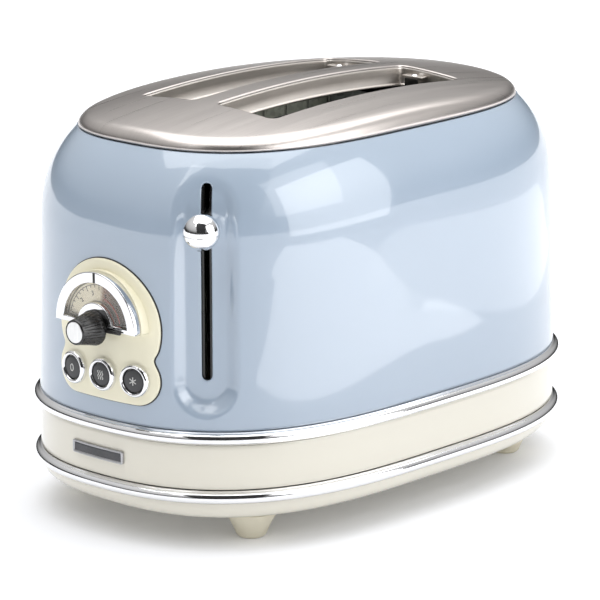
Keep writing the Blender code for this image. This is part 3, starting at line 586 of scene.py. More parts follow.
def outward(ring):
    ahead = np.roll(ring, -1, axis=0) - np.roll(ring, 1, axis=0)
    ahead /= np.linalg.norm(ahead, axis=1)[:, None]
    return np.stack([ahead[:, 1], -ahead[:, 0]], axis=1)


def swept(name, profile, count=320, ring=True, extra=()):
    """A cross-section of (out, z) points swept round the casing's plan."""
    base = even_plan(CASING_WIDTH, CASING_LENGTH, count, extra=extra)
    normal = outward(base)
    rows = []
    for out, z in profile:
        line = base + out * normal
        rows.append(np.column_stack([line, np.full(len(line), z)]))
    return grid_mesh(name, rows, ring=ring, sharp=50)


def body_inset(z):
    """How far the body's wall stands inside its foot at height z, across and along."""
    lean = BODY_LEAN * (z - BODY_BOTTOM)
    rise = np.maximum(0.0, (z - SHOULDER_START) / (SHOULDER_END - SHOULDER_START)) ** SHOULDER_POWER
    full_lean = BODY_LEAN * (SHOULDER_END - BODY_BOTTOM)
    across = CASING_WIDTH - full_lean - PLATE_WIDTH - GAP
    length = CASING_LENGTH - full_lean - PLATE_LENGTH - GAP
    return lean + across * rise, lean + length * rise


def body_power(z):
    rise = np.maximum(0.0, (z - SHOULDER_START) / (SHOULDER_END - SHOULDER_START))
    return PLAN_X + (PLATE_PLAN_X - PLAN_X) * rise


def front_y(x, out, z):
    """The y of the front wall's face at x."""
    inset = BODY_LEAN * (z - BODY_BOTTOM)
    width, length = CASING_WIDTH - inset + out, CASING_LENGTH - inset + out
    return -length * (1 - (np.abs(x) / width) ** PLAN_X) ** (1 / PLAN_Y)


def front_turn(x, z):
    step = 0.0005
    rise = front_y(x + step, 0.0, z) - front_y(x - step, 0.0, z)
    return math.atan2(rise, 2 * step)


def recess_floor_out(z):
    """Where the recess floor lies, ahead of the lever's place on the plan."""
    across, length = body_inset(z)
    inset = across * LEVER_OUT.x ** 2 + length * LEVER_OUT.y ** 2
    rise = np.maximum(0.0, (z - SHOULDER_START) / (RECESS_TOP - SHOULDER_START))
    return -inset - RECESS_DEPTH * (1.0 - 0.85 * rise ** 1.5)


def corner_surface(side, z):
    """How far ahead of the lever's place the body's wall lies, at a side offset and height."""
    across, length = body_inset(z)
    width, reach, power = CASING_WIDTH - across, CASING_LENGTH - length, body_power(z)
    low, high = np.full_like(side, -0.060), np.full_like(side, 0.030)
    for _ in range(40):
        middle = (low + high) / 2
        x = LEVER_PLACE.x + LEVER_SIDE.x * side + LEVER_OUT.x * middle
        y = LEVER_PLACE.y + LEVER_SIDE.y * side + LEVER_OUT.y * middle
        outside = (np.abs(x) / width) ** power + (np.abs(y) / reach) ** PLAN_Y > 1
        high = np.where(outside, middle, high)
        low = np.where(outside, low, middle)
    return (low + high) / 2


def smooth_step(share):
    share = np.clip(share, 0.0, 1.0)
    return share * share * (3 - 2 * share)


def slot_distance(side, z, bottom, top, half):
    """The distance from a point to an upright slot's centre line."""
    level = np.clip(z, bottom + half, top - half)
    return np.hypot(side, z - level)


# ---------------------------------------------------------------- body
PATCH_HALF = 0.0250             # half the width of the rows' part that holds the recess
RING_COLUMNS = 230              # points in the rest of a row
SLOT_LIP = 0.0008
SLOT_FADE = 0.0090              # height over which the rows beyond the slot's ends level out


def body_columns():
    """Side offsets of the columns across the recess, closest at the slot's edges."""
    half = LEVER_SLOT_HALF
    slot = [-half * math.cos(math.pi * i / 8) for i in range(9)]
    lips = [half + step for step in (0.00025, 0.0005, 0.0008, 0.0012, 0.0018)]
    rest = list(np.linspace(half + 0.0025, PATCH_HALF, 30))
    return np.array(sorted([-s for s in lips + rest] + slot + lips + rest))


def body_rows():
    """Heights of the body's rows, closer together at the slot's ends and the shoulder."""
    marks = [(BODY_BOTTOM, 0.0690, 4), (0.0690, 0.0840, 15), (0.0840, 0.0860, 3),
             (0.0860, 0.0930, 12), (0.0930, 0.1790, 48), (0.1790, 0.1870, 14),
             (0.1870, BODY_TOP - 0.0010, 14), (BODY_TOP - 0.0010, BODY_TOP, 4)]
    heights = [marks[0][0]]
    for start, end, count in marks:
        heights += list(np.linspace(start, end, count + 1)[1:])
    return np.array(heights)


def make_body():
    """The painted wall as rows of points round the casing. In each row the first points cross
    the lever recess, where the rows bend round the slot's ends; the others follow the plan."""
    sides, heights = body_columns(), body_rows()
    half = LEVER_SLOT_HALF
    low_row = int(np.argmin(np.abs(heights - (LEVER_SLOT_BOTTOM + half))))
    top_row = int(np.argmin(np.abs(heights - (LEVER_SLOT_TOP - half))))
    heights[low_row], heights[top_row] = LEVER_SLOT_BOTTOM + half, LEVER_SLOT_TOP - half
    rows = []
    for z in heights:
        bulge = np.sqrt(np.maximum(0.0, half ** 2 - sides ** 2))
        above, below = z - heights[top_row], heights[low_row] - z
        fade_up = smooth_step(1 - above / SLOT_FADE) if above >= 0 else 0.0
        fade_down = smooth_step(1 - below / SLOT_FADE) if below >= 0 else 0.0
        level = z + bulge * (fade_up - fade_down)
        skin = corner_surface(sides, level)
        distance = slot_distance(sides, level, RECESS_BOTTOM, RECESS_TOP, RECESS_HALF)
        pressed = smooth_step((RECESS_HALF - distance) / (RECESS_HALF - RECESS_FLOOR_HALF))
        out = skin + pressed * (recess_floor_out(level) - skin)
        lip = slot_distance(sides, level, LEVER_SLOT_BOTTOM, LEVER_SLOT_TOP, half) - half
        curl = np.clip(1 - lip / SLOT_LIP, 0.0, 1.0)
        out -= 0.0006 * (1 - np.sqrt(1 - curl ** 2))
        patch = np.column_stack([LEVER_PLACE.x + LEVER_SIDE.x * sides + LEVER_OUT.x * out,
                                 LEVER_PLACE.y + LEVER_SIDE.y * sides + LEVER_OUT.y * out, level])
        across, length = body_inset(z)
        line = plan(CASING_WIDTH - across, CASING_LENGTH - length, body_power(z))
        travelled = along(line)
        offset = (line - LEVER_PLACE.xy) @ np.array(LEVER_SIDE.xy)
        near = (np.arange(len(line)) < len(line) // 2) & (line[:, 1] < -0.03)
        start, end = np.interp([sides[0], sides[-1]], offset[near], travelled[near])
        around = end + (travelled[-1] - (end - start)) * np.arange(1, RING_COLUMNS) / RING_COLUMNS
        around %= travelled[-1]
        ring = np.stack([np.interp(around, travelled, line[:, i]) for i in (0, 1)], axis=1)
        rows.append(np.concatenate([patch, np.column_stack([ring, np.full(len(ring), z)])]))
    last = rows[-1]
    normal = outward(last[:, :2])
    for inwards, up in ((0.0001, 0.00022), (0.0004, 0.0004), (0.0012, 0.0005), (0.0040, 0.0005)):
        line = last[:, :2] - inwards * normal
        rows.append(np.column_stack([line, last[:, 2] - 0.0004 + up]))
    count = len(rows[0])
    first = int(np.argmin(np.abs(sides + half)))
    final = int(np.argmin(np.abs(sides - half)))
    faces = []
    for face in grid_faces(len(rows), count):
        row, column = divmod(face[0], count)
        if not (low_row <= row < top_row and first <= column < final):
            faces.append(face)
    mesh = mesh_of("body_panel", np.concatenate(rows), faces)
    mesh.set_sharp_from_angle(angle=math.radians(60))
    body = make_piece("body_panel", mesh, (BLUE, INNER_SHADE),
                      replaces=["body_shell"])
    wall(body, 0.0011, 1)


def make_slot_guard():
    """Black strips on each side of the lever arm, behind the body's slot: painted shade that keeps the
    slot dark.
    """
    z_low, z_high = LEVER_SLOT_BOTTOM - 0.006, LEVER_SLOT_TOP + 0.003
    heights = np.linspace(z_low, z_high, 40)
    for side, tag in ((-1, "left"), (1, "right")):
        rows = []
        for z in heights:
            back = recess_floor_out(np.array(z)) - 0.0022
            row = []
            for across, depth in ((0.0014, 0.0), (0.0014, -0.010), (0.0022, -0.010),
                                  (0.0022, -0.0012), (0.0075, -0.0006), (0.0075, 0.0)):
                spot = LEVER_PLACE + LEVER_SIDE * side * across + LEVER_OUT * (float(back) + depth)
                row.append((spot.x, spot.y, z))
            rows.append(row)
        make_piece(f"slot_shade_strip_{tag}", grid_mesh("slot_shade_strip", rows, capped=True), BLACK)


# ---------------------------------------------------------------- top plate
RIM_ROLL = 0.0058
LIP_ROLL = 0.0011
# drop and inward reach of a slot's flange: upright, then a small ledge
LIP_FLANGE = ((0.0, 0.0), (0.0010, 0.0), (0.0040, 0.0001), (0.0082, 0.0002), (0.0088, 0.0007),
              (0.0090, 0.0016))


def crown(points):
    return PLATE_CROWN - CROWN_CURVE_X * points[:, 0] ** 2 - CROWN_CURVE_Y * points[:, 1] ** 2


def make_top_plate():
    """A domed plate with a rolled rim, and slots whose rounded lips turn down into flanges."""
    outline = [tuple(p) for p in even_plan(PLATE_WIDTH, PLATE_LENGTH, 260, PLATE_PLAN_X)]
    rings = [outline] + [grown(outline, -d) for d in (0.0002, 0.0005, 0.0010, 0.0017, 0.0026,
                                                     0.0036, 0.0050, 0.0080)]
    holes, edges = [], []
    for side in (-1, 1):
        edge = tidy_outline(rounded_rectangle((side * SLOT_MIDDLE_X, 0), SLOT_HALF_WIDTH,
                                              SLOT_HALF_LENGTH, SLOT_CORNER), 0.003)
        edges.append(edge)
        holes.append([edge] + [grown(edge, d) for d in (0.0001, 0.0003, 0.0006, 0.0010, 0.0016,
                                                        0.0024)])
    flat, faces = filled(rings, holes, 0.0042)
    height = crown(flat)
    reach = outline_distance(flat, outline)
    roll = np.clip(1 - reach / RIM_ROLL, 0, 1)
    height -= (height - PLATE_EDGE) * (1 - np.sqrt(np.maximum(0.0, 1 - roll ** 2)))
    for edge in edges:
        lip = np.clip(1 - outline_distance(flat, edge) / LIP_ROLL, 0, 1)
        height -= LIP_ROLL * (1 - np.sqrt(np.maximum(0.0, 1 - lip ** 2)))
    points = [tuple(p) for p in np.column_stack([flat, height])]
    lips = []
    for edge in edges:
        top = np.array(edge)
        level = crown(top) - LIP_ROLL
        for drop, inwards in LIP_FLANGE:
            line = np.array(grown(edge, -inwards))
            lips.append(np.column_stack([line, level - drop]))
    mesh = mesh_of("top_plate_panel", points, faces)
    plate = make_piece("top_plate_panel", mesh, PLATE,
                       replaces=["top_plate"])
    wall(plate, 0.0008)
    for side, tag in ((-1, "left"), (1, "right")):
        first = 0 if side < 0 else len(LIP_FLANGE)
        mesh = grid_mesh("slot_flange", lips[first:first + len(LIP_FLANGE)])
        flange = make_piece(f"slot_flange_{tag}", mesh, LIP)
        modifier = flange.modifiers.new("wall", "SOLIDIFY")
        modifier.thickness = 0.0008
        modifier.offset = -1.0 if mesh_faces_in(mesh, side * SLOT_MIDDLE_X) else 1.0
        make_slot_lugs(tag, side * SLOT_MIDDLE_X)


def mesh_faces_in(mesh, middle_x):
    """Whether a slot flange's faces look at the slot's middle."""
    face = mesh.polygons[len(mesh.polygons) // 2]
    away = Vector((face.center.x - middle_x, face.center.y, 0))
    return face.normal.dot(away) < 0


def make_slot_lugs(tag, x):
    """The level riveted lugs just under the plate at both ends of a slot, each with a black
    tab that hangs from it."""
    for end, place in ((-1, "front"), (1, "rear")):
        length = 0.0052
        y = end * (SLOT_HALF_LENGTH - 0.0004 - length / 2)
        spot_x = x - 0.0085
        level = PLATE_CROWN - CROWN_CURVE_X * spot_x ** 2 - CROWN_CURVE_Y * y * y - 0.0042
        outline = rounded_rectangle((0, 0), 0.0068, length / 2, 0.0008, 4)
        lug = plate_curve("slot_lug", [outline], 0.0008, 0.0002)
        make_piece(f"slot_lug_{tag}_{place}", lug, LIP,
                   location=(spot_x, y, level))
        rivet = turned_mesh("rivet", [(0.0, 0.0008), (0.0010, 0.0007), (0.0017, 0.0003),
                                      (0.0019, 0.0)], 32)
        make_piece(f"slot_rivet_{tag}_{place}", rivet, CHROME,
                   location=(spot_x, y, level + 0.0004))
        hanger = plate_curve("slot_hanger", [rounded_rectangle((0, 0), 0.0045, 0.0040, 0.0006, 4)],
                             0.0008, 0.0002)
        make_piece(f"slot_hanger_{tag}_{place}", hanger, BLACK,
                   location=(spot_x, y - end * length / 2, level - 0.0048), rotation=FRONT)


# ---------------------------------------------------------------- trims, band, pan, feet
FOOT_RADIUS = 0.0136
PAN_COLUMNS = 280
PAN_TURN = 0.0112               # how far the pan's side turns in
PAN_SQUARENESS = 0.3            # added to the plan's power at the pan's foot


def make_trims():
    """Chrome beads with a narrow ledge above a full round lip."""
    for node in ("upper_trim_ring", "lower_trim_ring"):
        low, high = local_box(node)
        middle, radius = (low.z + high.z) / 2, (high.z - low.z) / 2
        reach = (ring_high.x - ring_low.x) / 2 - CASING_WIDTH
        profile = [(-0.0022, radius), (0.0002, radius), (0.0006, radius - 0.0002)]
        lip = radius - 0.0004
        for angle in np.linspace(78, -90, 22):
            profile.append((reach - lip + lip * math.cos(math.radians(angle)),
                            -0.0002 + lip * math.sin(math.radians(angle))))
        profile += [(0.0, -radius), (-0.0022, -radius)]
        rows = [(out, middle + z) for out, z in profile]
        mesh = swept(node, rows, 360)
        make_piece(f"{node}_bead", mesh, CHROME, replaces=[node])


def rear_shares(half_x):
    """Shares of the plan's length at which it passes x = +-half_x at the rear."""
    line = plan(CASING_WIDTH, CASING_LENGTH)
    travelled = along(line) / along(line)[-1]
    rear = line[:, 1] > 0.05
    order = np.argsort(line[rear][:, 0])
    return np.interp([half_x, -half_x], line[rear][order, 0], travelled[rear][order])


def make_band():
    """The cream band: very slightly crowned, with the tray's mouth open at the rear."""
    tray_low, tray_high = local_box("crumb_tray")
    low, high = tray_low.z - GAP, tray_high.z + GAP
    half = (tray_high.x - tray_low.x) / 2 + GAP
    z_values = sorted(list(np.linspace(band_low.z + 0.0006, band_high.z - 0.0006, 14)) + [low, high])
    rows = [(-0.0010, band_low.z), (-0.0003, band_low.z + 0.0001)]
    rows += [(0.0, z) for z in z_values]
    rows += [(-0.0003, band_high.z - 0.0001), (-0.0010, band_high.z)]
    extra = rear_shares(half)
    mesh = swept("trim_band_panel", rows, 320, ring=False, extra=extra)
    bm = bmesh.new()
    bm.from_mesh(mesh)
    doomed = []
    for face in bm.faces:
        spot = face.calc_center_median()
        if spot.y > 0 and abs(spot.x) < half and low < spot.z < high:
            doomed.append(face)
    bmesh.ops.delete(bm, geom=doomed, context="FACES")
    bm.to_mesh(mesh)
    bm.free()
    band = make_piece("trim_band_panel", mesh, (CREAM, INNER_SHADE),
                      replaces=["trim_band"])
    wall(band, 0.0014, 1)


def make_pan():
    """The shallow pan under the band, with a soft shoulder and a raised floor."""
    low, high = local_box("base_pan")
    width, length = (high.x - low.x) / 2, (high.y - low.y) / 2
    rows = []
    for step in range(19):
        share = step / 18
        drop = math.sin(share * math.pi / 2)
        inset = PAN_TURN * (1 - math.cos(share * math.pi / 2)) ** 0.9
        z = high.z - (high.z - low.z - 0.0004) * drop
        ring = even_plan(width - inset, length - inset * 1.15, PAN_COLUMNS,
                         PLAN_X + PAN_SQUARENESS * share)
        rows.append(np.column_stack([ring, np.full(len(ring), z)]))
    for inwards, rise in ((0.0004, 0.0001), (0.0012, 0.0), (0.0080, 0.0), (0.0090, 0.0008),
                          (0.0130, 0.0010), (0.0300, 0.0010), (0.0600, 0.0010)):
        ring = even_plan(width - PAN_TURN - inwards, length - 0.0129 - inwards, PAN_COLUMNS,
                         PLAN_X + PAN_SQUARENESS)
        rows.append(np.column_stack([ring, np.full(len(ring), low.z + rise)]))
    mesh = grid_mesh("base_pan_panel", rows, sharp=50)
    bm = bmesh.new()
    bm.from_mesh(mesh)
    bm.verts.ensure_lookup_table()
    bm.faces.new(bm.verts[-PAN_COLUMNS:])
    bmesh.ops.recalc_face_normals(bm, faces=bm.faces)
    bm.to_mesh(mesh)
    bm.free()
    pan = make_piece("base_pan_panel", mesh, (CREAM, INNER_SHADE),
                     replaces=["base_pan"])
    wall(pan, 0.0014, 1)


def make_feet():
    """Four tapered feet, each with a rounded tip and a small hollow under it."""
    for x_tag in ("left", "right"):
        for y_tag in ("front", "rear"):
            node = f"foot_{y_tag}_{x_tag}"
            low, high = local_box(node)
            middle = (low + high) / 2
            top = high.z - low.z - 0.0002
            profile = [(0.0120, top), (FOOT_RADIUS, top), (FOOT_RADIUS - 0.0001, top - 0.0010)]
            for i in range(1, 10):
                share = i / 9
                belly = 0.0004 * math.sin(math.pi * share)
                profile.append((FOOT_RADIUS - 0.0002 - 0.0054 * share - belly,
                                top - 0.0010 - (top - 0.0032) * share))
            profile += [(0.0077, 0.0014), (0.0071, 0.0006), (0.0064, 0.0001), (0.0058, 0.0),
                        (0.0052, 0.0), (0.0048, 0.0006), (0.0, 0.0006)]
            make_piece(f"{node}_cap", turned_mesh(node, profile, 72), FOOT_CREAM,
                       replaces=[node],
                       location=(middle.x, middle.y, low.z))


# ---------------------------------------------------------------- control panel
def panel_outline():
    outline = arc((PANEL_X, PANEL_Z), PANEL_RADIUS, -17, 197, 90)
    left, right = PANEL_X - BUTTON_PITCH, PANEL_X + BUTTON_PITCH
    outline.append((PANEL_X - PANEL_WAIST_HALF, PANEL_WAIST_Z))
    outline += arc((left, BUTTON_Z), BUTTON_LOBE, 150, 270, 30)
    outline += arc((right, BUTTON_Z), BUTTON_LOBE, 270, 390, 30)
    outline.append((PANEL_X + PANEL_WAIST_HALF, PANEL_WAIST_Z))
    return smoothed(tidy_outline(outline, 0.0012), 3)


def smoothed(points, rounds):
    ring = np.array(points)
    for _ in range(rounds):
        ring = ring * 0.5 + (np.roll(ring, 1, axis=0) + np.roll(ring, -1, axis=0)) * 0.25
    return [tuple(p) for p in ring]


def panel_wall(spots):
    return front_y(spots[:, 0], 0.0, spots[:, 1])


def band_wall(spots):
    return front_y(spots[:, 0], 0.0, BODY_BOTTOM)


def skin_plate(name, outline, wall_y, base_out, proud, edge, insets, spacing, dip=None):
    """A thin plate that follows the front of the body or the band, as wall_y says, with a
    rounded edge down to base_out. insets are the rings of points inside its outline."""
    rings = [outline] + [grown(outline, -d) for d in insets]
    flat, faces = filled(rings, [], spacing)
    reach = outline_distance(flat, outline)
    roll = np.clip(1 - reach / edge, 0, 1)
    out = proud - edge * (1 - np.sqrt(np.maximum(0.0, 1 - roll ** 2)))
    if dip is not None:
        out += dip(reach)
    points = list(np.column_stack([flat[:, 0], wall_y(flat) - out, flat[:, 1]]))
    start = len(points)
    ring = np.array(outline)
    points += list(np.column_stack([ring[:, 0], wall_y(ring) - base_out, ring[:, 1]]))
    order = [int(np.argmin(np.hypot(*(flat - spot).T))) for spot in ring]
    count = len(ring)
    for i in range(count):
        j = (i + 1) % count
        faces.append((order[i], order[j], start + j, start + i))
    return mesh_of(name, points, faces)


def make_panel():
    outline = panel_outline()
    # A thin black rim just outside the panel's outline: painted shade for the shadow gap round the
    # panel.
    shadow_rim = skin_plate("panel_shadow_rim", grown(outline, 0.00045), panel_wall, 0.0, 0.0006,
                        0.0003, (0.0001, 0.0003), 0.004)
    make_piece("panel_shadow_rim", shadow_rim, INK)
    mesh = skin_plate("control_panel_face", outline, panel_wall, 0.0002, PANEL_PROUD, 0.0007,
                      (0.0001, 0.0002, 0.0004, 0.0007, 0.0011), 0.0022)
    make_piece("control_panel_face", mesh, PANEL_CREAM,
               replaces=["control_panel"])
    boss = half_disc(DIAL_OUTER + 0.0002, -0.0004)
    depth = 0.0090
    back = DIAL_FRONT - DIAL_THICKNESS - GAP
    curve = plate_curve("dial_boss", [boss], depth, 0.0003)
    make_piece("dial_boss", curve, PANEL_CREAM,
               location=(0, -back + depth / 2, 0), rotation=FRONT)


def half_disc(radius, bottom, count=72):
    """A half disc about the dial's centre, its flat side bottom metres above the centre."""
    rise = math.degrees(math.asin(bottom / radius))
    return arc((PANEL_X, PANEL_Z), radius, rise, 180 - rise, count)


def half_ring(outer, inner, bottom, count=72):
    """A half ring about the dial's centre, closed along a level line."""
    rise_out = math.degrees(math.asin(bottom / outer))
    rise_in = math.degrees(math.asin(bottom / inner))
    return (arc((PANEL_X, PANEL_Z), outer, rise_out, 180 - rise_out, count)
            + arc((PANEL_X, PANEL_Z), inner, 180 - rise_in, rise_in, count))


def make_dial():
    """The chrome half ring with the printed scale, its marks and the clear cover in it."""
    window = half_ring(DIAL_WINDOW, DIAL_HUB, DIAL_BAR)
    bezel = plate_curve("dial_bezel", [half_disc(DIAL_OUTER, 0.0), window], DIAL_THICKNESS, 0.0005)
    middle = -(DIAL_FRONT - DIAL_THICKNESS / 2)
    make_piece("dial_bezel_ring", bezel, CHROME, replaces=["dial_bezel"],
               location=(0, middle, 0), rotation=FRONT)
    back = -(DIAL_FRONT - DIAL_THICKNESS)
    face = half_ring(DIAL_WINDOW - GAP, DIAL_HUB + GAP, DIAL_BAR + GAP)
    plate = plate_curve("dial_scale", [face], 0.0010, 0.0001)
    make_piece("dial_scale_plate", plate, SCALE, replaces=["dial_scale"],
               location=(0, back - 0.0005, 0), rotation=FRONT)
    make_dial_marks(back - 0.0010)
    cover = plate_curve("dial_cover", [face], 0.0006, 0.0001)
    make_piece("dial_window_cover", cover, CLEAR, replaces=["dial_window"],
               location=(0, back - 0.0030, 0), rotation=FRONT)
    tick = plate_curve("dial_index", [rounded_rectangle((PANEL_X, PANEL_Z + 0.0249), 0.0006,
                                                        0.0026, 0.0002, 3)], 0.0005, 0.0001)
    make_piece("dial_index", tick, INK,
               location=(0, -DIAL_FRONT - 0.00005, 0), rotation=FRONT)


def make_dial_marks(face_y):
    """Ticks, settings and the outline of the light sector, printed just proud of the scale."""
    lines = []
    for setting in range(19):
        angle = math.radians(SCALE_SPAN[0] + (SCALE_SPAN[1] - SCALE_SPAN[0]) * setting / 18)
        inner = SCALE_RADIUS - (0.0025 if setting % 3 == 0 else 0.0013)
        lines.append([(PANEL_X + r * math.cos(angle), 0, PANEL_Z + r * math.sin(angle))
                      for r in (inner, SCALE_RADIUS - 0.0001)])
    lines.append([(x, 0, z) for x, z in arc((PANEL_X, PANEL_Z), SCALE_RADIUS, *SCALE_SPAN, 48)])
    make_piece("dial_ticks", bars("dial_ticks", lines, 0.00016), INK,
               location=(0, face_y, 0))
    dark_arc = [(x, 0, z) for x, z in arc((PANEL_X, PANEL_Z), 0.0146, 14, 76, 24)]
    make_piece("dial_dark_arc", bars("dial_dark_arc", [dark_arc], 0.0003), RED_INK,
               location=(0, face_y, 0))
    for number in range(1, 7):
        angle = math.radians(SCALE_SPAN[1] - (SCALE_SPAN[1] - SCALE_SPAN[0]) * (number - 1) / 5)
        text = bpy.data.curves.new("dial_number", "FONT")
        text.body = str(number)
        text.size = NUMBER_SIZE
        text.align_x, text.align_y = "CENTER", "CENTER"
        text.extrude = 0.00005
        spot = (PANEL_X + NUMBER_RADIUS * math.cos(angle), face_y - 0.0001,
                PANEL_Z + NUMBER_RADIUS * math.sin(angle))
        tilt = Matrix.Rotation(angle - math.pi / 2, 3, "Z").to_quaternion()
        make_piece(f"dial_number_{number}", text, INK, location=spot,
                   rotation=FRONT @ tilt)


def make_knob():
    """The fluted black knob with its raised pointer, and the spun disc in its face."""
    base_y = DIAL_FRONT + GAP
    length = KNOB_REACH - base_y
    profile = [(0.0, 0.0), (KNOB_BASE - 0.0004, 0.0), (KNOB_BASE, 0.0003), (KNOB_BASE, 0.0012)]
    for i in range(1, 9):
        share = i / 9
        profile.append((KNOB_BASE - 0.0002 + (KNOB_TIP + 0.0003 - KNOB_BASE) * share,
                        0.0012 + (length - 0.0026) * share))
    tip, rim = KNOB_TIP, KNOB_CAP + GAP
    profile += [(tip + 0.00015, length - 0.0012), (tip, length - 0.0005),
                (tip - 0.0003, length - 0.0001), (tip - 0.0006, length),
                (rim, length - 0.0001), (rim, length - 0.0009), (0.0, length - 0.0009)]

    def flutes(angle, share):
        depth = 0.030 if 0.22 < share < 0.66 else 0.0
        return 1 - depth * max(0.0, math.cos(26 * angle)) ** 2

    knob = turned_mesh("knob", profile, 208, flutes)
    make_piece("browning_knob_grip", knob, BLACK, "browning_dial",
               ["browning_knob"], (PANEL_X, -base_y, PANEL_Z), facing((0, -1, 0)))
    pointer = plate_curve("pointer", [[(0.0060, -0.0011), (POINTER_REACH - 0.0006, -0.0007),
                                       (POINTER_REACH, 0.0), (POINTER_REACH - 0.0006, 0.0007),
                                       (0.0060, 0.0011)]], 0.0010, 0.0002)
    make_piece("knob_pointer", pointer, BLACK, "browning_dial",
               location=(PANEL_X, -base_y - 0.0006, PANEL_Z), rotation=FRONT)
    cap = turned_mesh("cap", [(KNOB_CAP, -0.0006), (KNOB_CAP, -0.00025), (KNOB_CAP - 0.0003, 0.0),
                              (0.0030, 0.00005), (0.0015, 0.00003), (0.0, 0.0)], 96)
    make_piece("knob_cap_disc", cap, SILVER, "browning_dial", ["knob_cap"],
               (PANEL_X, -KNOB_REACH + 0.0001, PANEL_Z), facing((0, -1, 0)))


def button_mark(tag):
    """The raised mark on a button: a ring to stop, waves to warm, a star to defrost."""
    if tag == "stop":
        turns = [2 * math.pi * i / 28 for i in range(28)]
        lines = [[(0.00105 * math.cos(turn), 0.0017 * math.sin(turn), 0) for turn in turns]]
    elif tag == "reheat":
        lines = [[(shift + 0.00035 * math.sin(i * 0.9), -0.0022 + 0.0044 * i / 14, 0)
                  for i in range(15)] for shift in (-0.0014, 0.0, 0.0014)]
    else:
        lines = []
        for angle in np.radians((90, 150, 210)):
            x, y = 0.0021 * math.cos(angle), 0.0021 * math.sin(angle)
            lines.append([(-x, -y, 0), (x, y, 0)])
    return bars("mark", lines, 0.00028, closed=tag == "stop")


def make_buttons():
    for step, tag in ((-1, "stop"), (0, "reheat"), (1, "defrost")):
        x = PANEL_X + step * BUTTON_PITCH
        turn = front_turn(x, BUTTON_Z)
        out = Vector((math.sin(turn), -math.cos(turn), 0.0))
        seat = Vector((x, float(front_y(x, PANEL_PROUD, PANEL_Z)) - 0.0005, BUTTON_Z))
        turned_to = Matrix.Rotation(turn, 3, "Z").to_quaternion() @ FRONT
        ring = [(0.0061, -0.0004), (0.0061, 0.0014), (0.00620, 0.0021), (0.00645, 0.0026),
                (0.0068, 0.0029), (0.0072, 0.0030), (0.0076, 0.0028), (0.0080, 0.0024),
                (0.0083, 0.0018), (0.0085, 0.0010), (0.0085, -0.0004)]
        make_piece(f"button_bezel_{tag}", turned_mesh("bezel", ring, 96, sharp=60), CHROME,
                   replaces=[f"bezel_{tag}"], location=seat,
                   rotation=turned_to)
        cap = [(0.0058, -0.0040), (0.0058, 0.0015), (0.0057, 0.0018), (0.0054, 0.0021),
               (0.0050, 0.0022), (0.0035, 0.0024), (0.0018, 0.0025), (0.0, 0.00255)]
        body = f"{tag}_button"
        make_piece(f"button_cap_{tag}", turned_mesh("button", cap, 72), GREY, body,
                   [f"button_{tag}"], seat, turned_to)
        make_piece(f"button_mark_{tag}", button_mark(tag), MARKS, body,
                   location=seat + out * 0.00245, rotation=turned_to)


def make_badge():
    """A plain plate in a raised frame, on the front of the band."""
    outline = tidy_outline(rounded_rectangle((BADGE_X, BADGE_Z), BADGE_HALF_WIDTH,
                                             BADGE_HALF_HEIGHT, 0.0009, 5), 0.0012)

    def sunk(reach):
        return -0.0005 * smooth_step((reach - 0.0008) / 0.0003)

    mesh = skin_plate("badge", outline, band_wall, 0.0002, 0.0015, 0.0004,
                      (0.0001, 0.0002, 0.0004, 0.0008, 0.00095, 0.0011), 0.0011, sunk)
    make_piece("badge_frame", mesh, PEWTER, replaces=["badge_plate"])
    ground = grown(outline, -0.00110)
    mesh = skin_plate("badge_ground", ground, band_wall, 0.0002, 0.00105, 0.0001, (0.0002,),
                      0.0011)
    make_piece("badge_ground", mesh, PEWTER_FACE)


# ---------------------------------------------------------------- lever and mechanism
def make_lever_ball():
    """Two chrome half shells that meet in a fine seam, on the end of the lever arm."""
    low, high = local_box("lever_knob")
    middle, radius = (low + high) / 2, (high.z - low.z) / 2
    seam = -0.0012
    profile = []
    for i in range(61):
        angle = math.pi * (0.5 - i / 60)
        z, r = radius * math.sin(angle), radius * math.cos(angle)
        if abs(z - seam) > 0.00035:
            profile.append((r, z))
    rim = math.sqrt(radius ** 2 - seam ** 2)
    for side in (1, -1):
        profile += [(rim, seam + side * 0.00030), (rim - 0.00012, seam + side * 0.00016),
                    (rim - 0.0004, seam + side * 0.00010)]
    profile.sort(key=lambda point: -point[1])
    ball = turned_mesh("ball", profile, 128)
    make_piece("lever_ball", ball, CHROME, "bread_carriage", ["lever_knob"],
               middle)
    screw = turned_mesh("ball_screw", [(0.0, 0.0004), (0.0008, 0.0004), (0.0011, 0.0002),
                                       (0.0011, -0.0005)], 32)
    below = Vector((0.12, -0.30, -0.95)).normalized()
    make_piece("lever_ball_screw", screw, INK, "bread_carriage",
               location=middle + below * (radius - 0.0003), rotation=facing(below))


def make_bread_guides():
    """Wire cages in place of the windowed plates."""
    for slot_tag in ("left", "right"):
        for place in ("inner", "outer"):
            node = f"bread_guide_{slot_tag}_{place}"
            low, high = local_box(node)
            middle = (low + high) / 2
            radius = (high.x - low.x) / 2
            reach = (high.y - low.y) / 2 - radius
            bottom, top = low.z + radius, high.z - radius
            lines = [[(0, -reach, z), (0, reach, z)] for z in (bottom, top)]
            lines += [[(0, y, bottom), (0, y, top)] for y in np.linspace(-reach, reach, 9)]
            cage = bars(node, lines, radius, 3)
            make_piece(f"{node}_wires", cage, WIRE, f"guide_{slot_tag}_{place}",
                       [node], (middle.x, middle.y, 0))


RIBBON_TURNS = 14
RIBBON_HALF_WIDTH = 0.0008
RIBBON_MARGIN = 0.012           # from the card's top and bottom


